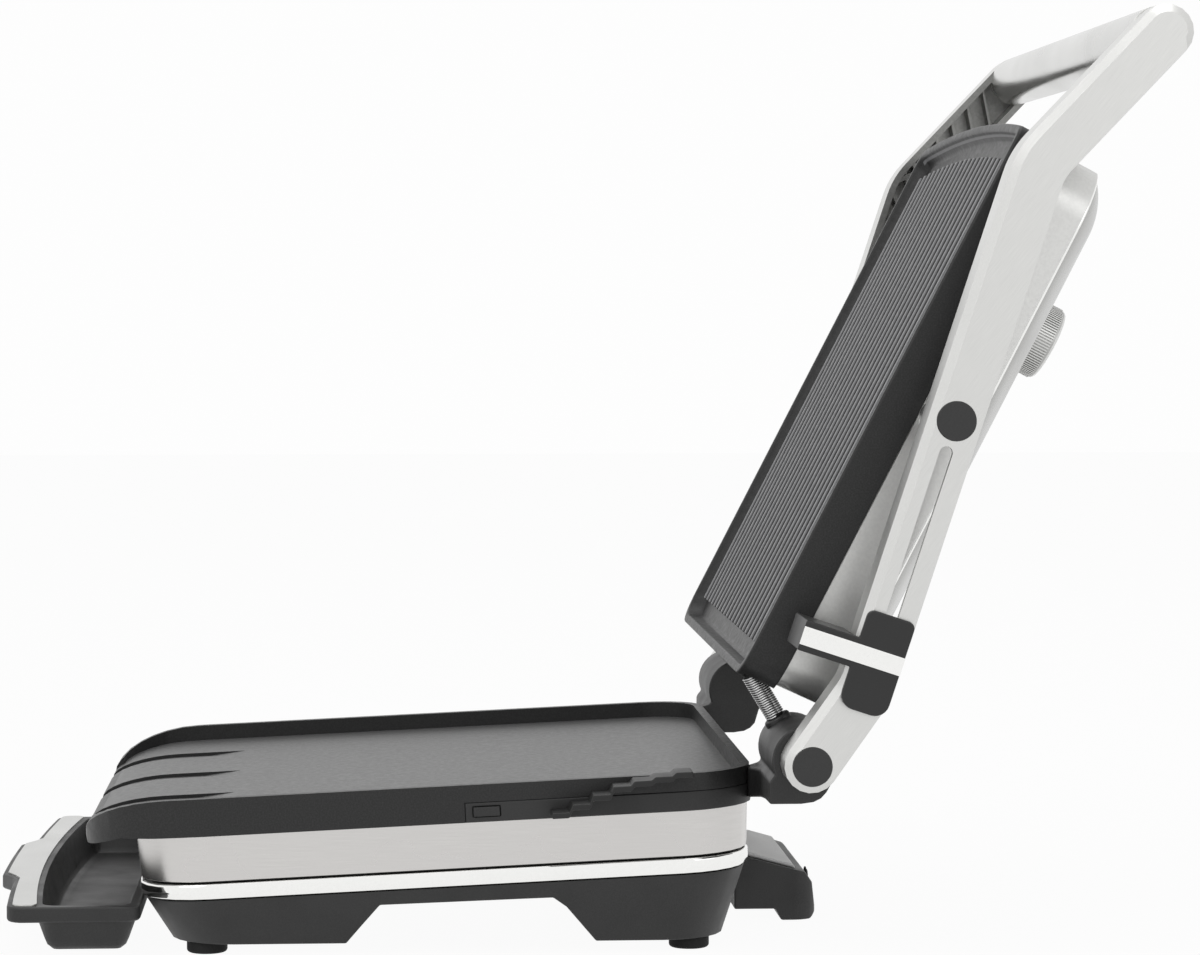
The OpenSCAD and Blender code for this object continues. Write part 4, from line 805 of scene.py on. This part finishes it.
def screws(node, name, side):
    """Cross-headed screws at the places of a CAD node's screws, heads facing the node's outer side."""
    centres, radius, height, turn = islands(node)
    tree, value = new_tree("Screw heads", Radius="Float", Height="Float", Slot="Float")
    slot, high, rim = value["Slot"], value["Height"], value["Radius"]
    head = add_node(tree, "GeometryNodeMeshCylinder", {"Vertices": 32, "Radius": rim, "Depth": high})
    reach = add_node(tree, "ShaderNodeMath", {0: rim, 1: 1.2}, operation="MULTIPLY")
    # A bar, lifted by a share of the head's height, cuts each slot. The shares differ a little, so that the
    # slots' floors don't lie in one plane
    for long, wide, rise in ((reach, slot, 0.62), (slot, reach, 0.65)):
        size = add_node(tree, "ShaderNodeCombineXYZ", {"X": long, "Y": wide, "Z": high})
        bar = add_node(tree, "GeometryNodeMeshCube", {"Size": size})
        lift = add_node(tree, "ShaderNodeMath", {0: high, 1: rise * side}, operation="MULTIPLY")
        up = add_node(tree, "ShaderNodeCombineXYZ", {"Z": lift})
        moved = add_node(tree, "GeometryNodeTransform", {"Geometry": bar, "Translation": up})
        both = {"Mesh 1": head, "Mesh 2": moved}
        head = add_node(tree, "GeometryNodeMeshBoolean", both, operation="DIFFERENCE")
    spread = add_node(tree, "GeometryNodeInstanceOnPoints", {"Points": value["Geometry"], "Instance": head})
    mesh = points_mesh(name, [turn.inverted() @ centre for centre in centres])
    piece = build(tree, spread, mesh, "pin", Radius=radius, Height=height, Slot=sizes().screw_slot)
    seat(smooth(place(piece, turn)), node)


def islands(node):
    """Centres, radius, height and turn of the equal round pieces in a CAD node."""
    bm = bmesh.new()
    bm.from_mesh(frame["nodes"][node].data)
    bmesh.ops.remove_doubles(bm, verts=bm.verts, dist=WELD)
    left, groups = set(bm.verts), []
    while left:
        stack, group = [left.pop()], []
        while stack:
            vert = stack.pop()
            group.append(vert.co.copy())
            near = [edge.other_vert(vert) for edge in vert.link_edges]
            stack += [other for other in near if other in left]
            left.difference_update(near)
        groups.append(group)
    axis = most_common([face.normal.copy() for face in bm.faces if face.calc_area() > 0])
    bm.free()
    centres = [sum(group, Vector()) / len(group) for group in groups]
    offsets = [point - centres[0] for point in groups[0]]
    height = 2 * max(abs(p.dot(axis)) for p in offsets)
    radius = max((p - axis * p.dot(axis)).length for p in offsets)
    return centres, radius, height, stood(Vector(), axis if axis.z > 0 else -axis)


def most_common(normals):
    """The direction that most of the faces share."""
    groups = {}
    for normal in normals:
        groups.setdefault(tuple(round(c, 2) for c in normal), []).append(normal)
    return max(groups.values(), key=len)[0]


class GRILL_OT_base_metal(bpy.types.Operator):
    """Skirt, band, shield and lower element"""

    bl_idname = "grill.base_metal"
    bl_label = "Base metal"

    def execute(self, context):
        edge = sizes().metal_edge
        dress("steel_skirt", "skirt_sheet", "steel", edge)
        dress("chrome_band", "bright_band", "chrome", edge * 1.5, 3, 20)
        keep("heat_shield", "shield")
        keep("lower_heating_element", "element")
        return {"FINISHED"}


class GRILL_OT_plates(bpy.types.Operator):
    """The two cooking plates and the upper element"""

    bl_idname = "grill.plates"
    bl_label = "Cooking plates"

    def execute(self, context):
        paint_floor_reflection(dress("griddle_plate", "griddle_casting", "plate", sizes().plate_edge, 3))
        body = new_piece("plate_body", plate_body(), FINISH["ribs"])
        plate = joined("ribbed_casting", [body, rib_rows()], FINISH["ribs"])
        low = Vector((NOTCH_X - NOTCH_HALF, -NOTCH_DEPTH, NOTCH_START))
        cut(plate, low, Vector((NOTCH_X + NOTCH_HALF, MM, sizes().plate_wall + MM)))
        seat(smooth(place(plate, lid_matrix())), "ribbed_plate")
        keep("upper_heating_element", "element")
        return {"FINISHED"}


def paint_floor_reflection(plate):
    """Gives the faces that face up and lie open below the rim a painted reflection of the overhead light."""
    up = Vector((0, -math.sin(PLATE_TILT), math.cos(PLATE_TILT)))
    rim = max(v.co.dot(up) for v in plate.data.vertices)
    second_tone(
        plate,
        FINISH["plate_floor"],
        lambda face: face.normal.dot(up) > 0.9 and rim - face.center.dot(up) > REFLECTION_DEPTH,
    )


def lid_matrix():
    """From the lid drawn closed, rear edge at the origin and rim at height zero, to the open lid."""
    pivot = Matrix.Translation(joint("lid_float")[0])
    turn = Matrix.Rotation(LID_ANGLE + math.pi, 4, "X")
    return pivot @ turn @ Matrix.Translation((0, PIVOT_ALONG, -PIVOT_RISE))


def lid_front(x, inset):
    """Front edge of the lid at a place across it."""
    s = sizes()
    radius = s.plate_front - inset / 2
    flat = s.lid_width / 2 - inset - radius
    start = -s.lid_depth + inset
    if abs(x) <= flat:
        return start - s.lid_bulge * (1 - (x / flat) ** 2)
    return start + corner_draw(abs(x) - flat, radius)


def lid_outline(inset):
    """Outline of the lid with its bulging front, as (x, y)."""
    s = sizes()
    half = s.lid_width / 2 - inset
    radius = s.plate_front - inset / 2
    rear = s.plate_rear - inset / 2
    start = -s.lid_depth + inset + radius
    points = arc(half - rear, -inset - rear, rear, 0, 90, ARC_STEPS)
    points += arc(-half + rear, -inset - rear, rear, 90, 180, ARC_STEPS)
    points += arc(-half + radius, start, radius, 180, 255, ARC_STEPS)
    for i in range(1, 4 * ARC_STEPS):
        x = (half - radius) * (i / (2 * ARC_STEPS) - 1)
        points.append((x, lid_front(x, inset)))
    return points + arc(half - radius, start, radius, 285, 360, ARC_STEPS)


def plate_body():
    """The lid's plate without its ribs: wall, rounded rim, sloping inner wall and flat floor."""
    s = sizes()
    soft, slope, rim, floor = 1.1 * MM, 1.6 * MM, s.plate_rim, s.plate_floor
    steps = [(0, s.plate_wall)] + arc(soft, soft, soft, 180, 270, 3)
    steps += arc(rim - soft, soft, soft, 270, 360, 3)
    steps += [(rim + slope, floor - soft), (rim + slope + soft, floor)]
    return loft("ribbed_casting", [raised(lid_outline(inset), z) for inset, z in steps])


def rib_rows():
    """Tapered ribs that run from the plate's rear to its curved front."""
    s = sizes()
    half = s.lid_width / 2 - 1.7 * s.plate_rim
    pitch = 2 * half / (s.rib_count + 1)
    rear = -s.plate_rim - s.rib_margin
    points, reach = [], []
    for i in range(1, s.rib_count + 1):
        x = -half + i * pitch
        front = max(lid_front(x + step, s.plate_rim) for step in (-pitch / 2, pitch / 2)) + s.rib_margin
        points.append((x, (rear + front) / 2, s.plate_floor))
        reach.append(rear - front)
    mesh = points_mesh("plate_ribs", points)
    mesh.attributes.new("reach", "FLOAT", "POINT").data.foreach_set("value", reach)
    tree, value = new_tree("Plate ribs", Size="Vector", Narrow="Vector")
    bar = add_node(tree, "GeometryNodeMeshCube", {"Size": value["Size"]})
    spot = add_node(tree, "GeometryNodeInputPosition")
    parts = add_node(tree, "ShaderNodeSeparateXYZ", {0: spot})
    is_top = add_node(tree, "ShaderNodeMath", {0: parts.outputs["Z"], 1: 0.0}, operation="LESS_THAN")
    narrow = add_node(tree, "ShaderNodeVectorMath", {0: spot, 1: value["Narrow"]}, operation="MULTIPLY")
    moves = {"Geometry": bar, "Selection": is_top, "Position": narrow}
    taper = add_node(tree, "GeometryNodeSetPosition", moves)
    long = add_node(tree, "GeometryNodeInputNamedAttribute", {"Name": "reach"}, data_type="FLOAT")
    scale = add_node(tree, "ShaderNodeCombineXYZ", {"X": 1.0, "Y": long, "Z": 1.0})
    copies = {"Points": value["Geometry"], "Instance": taper, "Scale": scale}
    spread = add_node(tree, "GeometryNodeInstanceOnPoints", copies)
    # Shares of the ribs' pitch at foot and top, and the slope of their ends
    foot, top, slope = 0.8, 0.26, 0.985
    size = (pitch * foot, 1.0, 2 * s.rib_height)
    piece = build(tree, spread, mesh, "ribs", Size=size, Narrow=(top / foot, slope, 1.0))
    return rounded(piece, s.rib_edge, 2, 20)


class GRILL_OT_arms(bpy.types.Operator):
    """Arms, caps, pins and handle"""

    bl_idname = "grill.arms"
    bl_label = "Arms and handle"

    def execute(self, context):
        edge = sizes().arm_edge
        inside(dress("arm_right", "right_arm_casting", "arm", edge, 3), 1)
        inside(dress("arm_left", "left_arm_casting", "arm", edge, 3), -1)
        arm_rib_rows()
        dress("hinge_caps", "hinge_cap_discs", "gloss_plastic", sizes().cap_edge)
        dress("pivot_caps", "pivot_cap_discs", "gloss_plastic", sizes().cap_edge)
        dress("handle_bar", "handle_tube", "handle", edge * 0.5)
        dress("handle_insert", "handle_strip", "gloss_plastic", edge * 0.2)
        for node in ("hinge_pin_left", "hinge_pin_right", "pivot_bush_left", "pivot_bush_right"):
            keep(node, "pin")
        return {"FINISHED"}


def inside(arm, side):
    """Gives the faces that look towards the grill's middle a darker tone of painted shade."""
    second_tone(arm, FINISH["arm_inside"], lambda face: face.normal.x * side < -0.3)


def arm_rib_rows():
    """Slanted ribs inside the handle end of both arms."""
    s = sizes()
    low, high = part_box("handle_bar")
    end = (low + high) / 2
    along = Vector((0, math.cos(ARM_TOP_ANGLE), math.sin(ARM_TOP_ANGLE)))
    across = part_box("arm_right")[1].x - ARM_WEB - ARM_RIB_SIZE[0] / 2
    points = []
    for side in (-1, 1):
        for i in range(s.arm_ribs):
            spot = end - along * (ARM_RIB_FIRST + (ARM_RIB_LAST - ARM_RIB_FIRST) * i / (s.arm_ribs - 1))
            points.append((side * across, spot.y, spot.z))
    tree, value = new_tree("Arm ribs", Size="Vector", Turn="Vector")
    bar = add_node(tree, "GeometryNodeMeshCube", {"Size": value["Size"]})
    copies = {"Points": value["Geometry"], "Instance": bar, "Rotation": value["Turn"]}
    spread = add_node(tree, "GeometryNodeInstanceOnPoints", copies)
    turn = (ARM_TOP_ANGLE + ARM_RIB_LEAN, 0, 0)
    mesh = points_mesh("arm_ribs", points)
    # The ribs inside the arms take the same painted shade
    piece = build(tree, spread, mesh, "arm_inside", Size=ARM_RIB_SIZE, Turn=turn)
    attach(rounded(piece, s.thin_edge * 1.5), "arm_right")


class GRILL_OT_lid(bpy.types.Operator):
    """Lid case, domed cover, thermostat and screws"""

    bl_idname = "grill.lid"
    bl_label = "Lid"

    def execute(self, context):
        dress("lid_shell", "lid_case", "shell", sizes().plastic_edge * 1.5, 3)
        cover = place(new_piece("domed_cover", cover_skin(), FINISH["cover"]), lid_matrix())
        smooth(cover, math.radians(60))
        bead = place(new_piece("cover_bead", cover_bead(), FINISH["chrome"]), lid_matrix())
        attach(smooth(bead, ROUND_ANGLE), "lid_cover")
        seat(cover, "lid_cover")
        keep("thermostat", "brass")
        screws("lid_screws", "lid_screw_heads", 1)
        return {"FINISHED"}


def cover_ends():
    """Front and rear edge of the domed cover."""
    return -sizes().lid_depth + COVER_INSET, -COVER_REAR


def cover_half(y):
    """Half width of the domed cover, drawn in at its corners."""
    s = sizes()
    front, rear = cover_ends()
    wide, tight = s.lid_corner, s.lid_corner / 2
    draw = corner_draw(wide - (y - front), wide) + corner_draw(tight - (rear - y), tight)
    return s.lid_width / 2 - COVER_INSET - draw


def cover_skin(rows=72, columns=72):
    """The domed cover: flat over most of its length, with quick round ends and a thin edge."""
    s = sizes()
    front, rear = cover_ends()
    bm = bmesh.new()
    top, low = [], []
    for y in eased(front, rear, rows):
        into = 1 - min(max(min(y - front, rear - y) / s.cover_end, 0), 1)
        end = math.sqrt(max(1 - into**2, 0))
        half = cover_half(y)
        for grid, drop in ((top, 0.0), (low, COVER_SHEET)):
            row = []
            for across in eased(-1, 1, columns):
                rise = COVER_EDGE + s.cover_rise * math.sqrt(max(1 - across**2, 0)) ** COVER_FALL * end
                row.append(bm.verts.new((across * half, y, CASE_TOP + max(rise - drop, 0))))
            grid.append(row)
    for grid in (top, low):
        for near, far in zip(grid, grid[1:]):
            for i in range(columns):
                bm.faces.new([near[i], near[i + 1], far[i + 1], far[i]])
    edge = [(0, i) for i in range(columns)] + [(j, columns) for j in range(rows)]
    edge += [(rows, i) for i in range(columns, 0, -1)] + [(j, 0) for j in range(rows, 0, -1)]
    for (a, b), (c, d) in zip(edge, edge[1:] + edge[:1]):
        bm.faces.new([top[a][b], top[c][d], low[c][d], low[a][b]])
    bmesh.ops.remove_doubles(bm, verts=bm.verts, dist=WELD)
    bmesh.ops.recalc_face_normals(bm, faces=bm.faces)
    return to_mesh(bm, "domed_cover")


def cover_bead(steps=48, sides=10):
    """A thin bright bead that follows the cover's lower edge."""
    radius = sizes().bead_radius
    path = [Vector((cover_half(y), y, CASE_TOP + radius / 2)) for y in eased(*cover_ends(), steps)]
    path += [Vector((-p.x, p.y, p.z)) for p in reversed(path)]
    rings = []
    for k, point in enumerate(path):
        along = (path[(k + 1) % len(path)] - path[k - 1]).normalized()
        out = Vector((along.y, -along.x, 0))
        rings.append([point + out * x + Vector((0, 0, z)) for x, z in arc(0, 0, radius, 0, 360, sides)[:-1]])
    return loft("cover_bead", rings, closed=True)


class GRILL_OT_dial(bpy.types.Operator):
    """Dial with its ridged grip, bezel and shaft"""

    bl_idname = "grill.dial"
    bl_label = "Dial"

    def execute(self, context):
        keep("dial_shaft", "pin")
        dress("dial_bezel", "dial_collar", "dial", sizes().cap_edge)
        knob()
        return {"FINISHED"}


def knob():
    """A round knob with a rounded front edge and a band of fine ridges."""
    s = sizes()
    start, axis = joint("dial_turn")
    points = [v.co - start for v in frame["nodes"]["dial_knob"].data.vertices]
    along = [p.dot(axis) for p in points]
    radius = max((p - axis * p.dot(axis)).length for p in points)
    low, high = min(along), max(along)
    if abs(low) > abs(high):
        axis, low, high = -axis, -high, -low
    inner, edge = radius - s.grip_depth, 1.6 * MM
    profile = [(0, low), (inner, low)] + arc(inner - edge, high - edge, edge, 0, 90) + [(0, high)]
    body = lathe("knob_body", profile, 96, FINISH["dial"])
    tree, value = new_tree("Knob ridges", Count="Int", Radius="Float", Size="Vector")
    ring = add_node(tree, "GeometryNodeMeshCircle", {"Vertices": value["Count"], "Radius": value["Radius"]})
    bar = add_node(tree, "GeometryNodeMeshCube", {"Size": value["Size"]})
    spot = add_node(tree, "GeometryNodeInputPosition")
    aim = add_node(tree, "FunctionNodeAlignRotationToVector", {"Vector": spot}, axis="X")
    copies = {"Points": ring, "Instance": bar, "Rotation": aim}
    spread = add_node(tree, "GeometryNodeInstanceOnPoints", copies)
    # The ridges cover most of the knob's height and half of its rim, and start a little above its foot
    tall = (high - low) * 0.78
    foot = low + (high - low) * 0.05
    size = (2 * s.grip_depth, math.pi * inner / s.dial_grips, tall)
    mesh = points_mesh("knob_ridges", [(0, 0, 0)])
    ridges = build(tree, spread, mesh, "dial", Count=s.dial_grips, Radius=inner, Size=size)
    place(ridges, Matrix.Translation((0, 0, foot + tall / 2)))
    piece = place(joined("dial_grip", [body, ridges], FINISH["dial"]), stood(start, axis))

    def between_ridges(face):
        out = face.center - start
        out -= axis * out.dot(axis)
        return abs(face.normal.dot(axis)) < 0.2 and out.length < inner + s.grip_depth / 2

    # The faces between the ridges are darkened with painted shade
    second_tone(piece, FINISH["dial_band"], between_ridges)
    seat(smooth(piece, math.radians(35)), "dial_knob")


class GRILL_OT_slider(bpy.types.Operator):
    """Height slider on the right arm"""

    bl_idname = "grill.slider"
    bl_label = "Height slider"

    def execute(self, context):
        s = sizes()
        dress("slider_body", "slider_moulding", "slider", s.plastic_edge * 1.3, 3)
        dress("slider_band", "slider_trim", "chrome", s.thin_edge)
        dress("slider_clamp", "clamp_plate", "pin", s.thin_edge * 1.5)
        return {"FINISHED"}


class GRILL_OT_tray(bpy.types.Operator):
    """Drip tray and its trim"""

    bl_idname = "grill.tray"
    bl_label = "Drip tray"

    def execute(self, context):
        tub, trim = tray_bodies()
        edge = sizes().metal_edge
        seat(rounded(new_piece("tray_moulding", tub, FINISH["plastic"]), edge), "tray_tub")
        seat(rounded(new_piece("tray_plate", trim, FINISH["trim"]), edge * 0.6), "tray_trim")
        return {"FINISHED"}


def tray_ring(half, front, rear, corner, inset, steps=48):
    """Outline between a front and a rear edge, given as functions of x, with rounded corners."""
    half -= inset
    radius = max(corner - inset, MM)
    across = eased(-half, half, steps)
    draws = [inset + corner_draw(abs(x) - (half - radius), radius) for x in across]
    points = [(x, front(x) + draw) for x, draw in zip(across, draws)]
    return points + [(x, rear(x) - draw) for x, draw in zip(across[::-1], draws[::-1])]


def tray_bodies():
    """Tub with a rounded bottom and a tab, and the plate that trims its ledge."""
    s = sizes()
    low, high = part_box("tray_tub")
    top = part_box("tray_trim")[1].z
    half, corner, wall, lift, trim = s.tray_length / 2, s.tray_corner, s.tray_wall, s.tray_lift, s.trim_inset
    face = low.y + s.tab_reach + s.tray_bulge
    lip = high.z - s.rim_height
    soft, strip_corner, sunk = 0.9 * MM, 4 * MM, 0.2 * MM

    def bow(x, rise):
        return -rise * max(1 - (x / half) ** 2, 0)

    def tab(x):
        t = min(max((s.tray_tab + s.tab_reach - abs(x)) / (1.6 * s.tab_reach), 0), 1)
        return -s.tab_reach * t * t * (3 - 2 * t)

    def front(x):
        return face + bow(x, s.tray_bulge) + tab(x)

    def ledge(x):
        return face + s.tray_ledge + bow(x, s.basin_bulge)

    def outer(inset, z):
        return raised(tray_ring(half, front, lambda x: high.y, corner, inset), z)

    def basin(inset, z):
        return raised(tray_ring(half - 2 * wall, ledge, lambda x: high.y - 2 * wall, corner, inset), z)

    # Insets and heights above the underside, in millimetres, of the rounded bottom outside and inside
    below = ((7, 0), (4, 0.5), (1.8, 2.2), (0.6, 4.8))
    within = ((0.8, 5.2), (2.4, wall / MM + 0.8), (5, wall / MM))
    rings = [basin(inset * MM, lift + z * MM) for inset, z in below]
    rings += [basin(-wall, lip), outer(soft, lip), outer(0, lip + soft), outer(0, high.z - soft)]
    # The middle of the rim's rounded edge
    rings.append(outer(soft * 0.3, high.z - soft * 0.3))
    rings += [outer(soft, high.z), basin(0, high.z)]
    rings.append(basin(wall * 0.4, lip))
    rings += [basin(wall + inset * MM, lift + z * MM) for inset, z in within]
    strip = tray_ring(half - trim, lambda x: front(x) + trim, lambda x: ledge(x) - trim, strip_corner, 0)
    sheet = [raised(strip, high.z - sunk), raised(strip, top)]
    return loft("tray_moulding", rings), loft("tray_plate", sheet)


class GRILL_OT_conduit(bpy.types.Operator):
    """Wound wire sleeve and liner between bracket and lid"""

    bl_idname = "grill.conduit"
    bl_label = "Conduit"

    def execute(self, context):
        liner = dress("conduit_liner", "liner_tube", "liner", sizes().thin_edge * 1.5)
        axis, foot, long, radius = rod_of("conduit_liner")
        wire = sizes().wire_radius
        tree, value = new_tree("Wound sleeve", Turns="Float", Radius="Float", Length="Float", Wire="Float")
        coil = {"Resolution": 24, "Rotations": value["Turns"], "Height": value["Length"]}
        coil.update({"Start Radius": value["Radius"], "End Radius": value["Radius"]})
        spiral = add_node(tree, "GeometryNodeCurveSpiral", coil)
        ring = add_node(tree, "GeometryNodeCurvePrimitiveCircle", {"Resolution": 8, "Radius": value["Wire"]})
        swept = {"Curve": spiral, "Profile Curve": ring, "Fill Caps": True}
        tube = add_node(tree, "GeometryNodeCurveToMesh", swept)
        # The wire lies just clear of the liner
        coil_radius = radius + wire * 1.05
        given = {"Turns": float(sizes().sleeve_turns), "Radius": coil_radius, "Wire": wire}
        mesh = points_mesh("wound_sleeve", [(0, 0, 0)])
        sleeve = build(tree, tube, mesh, "sleeve", Length=long - 2 * wire, **given)
        place(sleeve, stood(foot + axis * wire, axis))
        seat(smooth(sleeve, ROUND_ANGLE), "conduit_sleeve")
        for part in (liner, sleeve):
            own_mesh(part)
        return {"FINISHED"}


def rod_of(node):
    """Axis, foot, length and radius of a CAD node that is an upright or leaning rod."""
    points = [v.co.copy() for v in frame["nodes"][node].data.vertices]
    centre = sum(points, Vector()) / len(points)
    far = max(points, key=lambda p: (p - centre).length) - centre
    ends = [[p for p in points if ((p - centre).dot(far) > 0) == upper] for upper in (False, True)]
    foot, top = sorted((sum(end, Vector()) / len(end) for end in ends), key=lambda p: p.z)
    axis = (top - foot).normalized()
    radius = max(((p - foot) - axis * (p - foot).dot(axis)).length for p in points)
    return axis, foot, (top - foot).length, radius


OPERATORS = (
    GRILL_OT_stage,
    GRILL_OT_base,
    GRILL_OT_base_metal,
    GRILL_OT_plates,
    GRILL_OT_arms,
    GRILL_OT_lid,
    GRILL_OT_dial,
    GRILL_OT_slider,
    GRILL_OT_tray,
    GRILL_OT_conduit,
)


class GRILL_PT_panel(bpy.types.Panel):
    """Lists the grill's pieces and values"""

    bl_idname = "GRILL_PT_panel"
    bl_label = "Countertop grill"
    bl_space_type = "VIEW_3D"
    bl_region_type = "UI"
    bl_category = "Grill"

    def draw(self, context):
        layout = self.layout
        for group in (context.scene.grill_sizes, context.scene.grill_colours):
            column = layout.column(align=True)
            for key in group.__annotations__:
                column.prop(group, key)
        column = layout.column(align=True)
        for operator in OPERATORS:
            column.operator(operator.bl_idname)


CLASSES = (GRILL_PG_sizes, GRILL_PG_colours, *OPERATORS, GRILL_PT_panel)


def register():
    for entry in CLASSES:
        bpy.utils.register_class(entry)
    bpy.types.Scene.grill_sizes = PointerProperty(type=GRILL_PG_sizes)
    bpy.types.Scene.grill_colours = PointerProperty(type=GRILL_PG_colours)


def unregister():
    del bpy.types.Scene.grill_colours
    del bpy.types.Scene.grill_sizes
    for entry in reversed(CLASSES):
        bpy.utils.unregister_class(entry)


def main():
    """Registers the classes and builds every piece."""
    register()
    finishes()
    for operator in OPERATORS:
        group, name = operator.bl_idname.split(".")
        getattr(getattr(bpy.ops, group), name)()


if __name__ == "__main__":
    main()
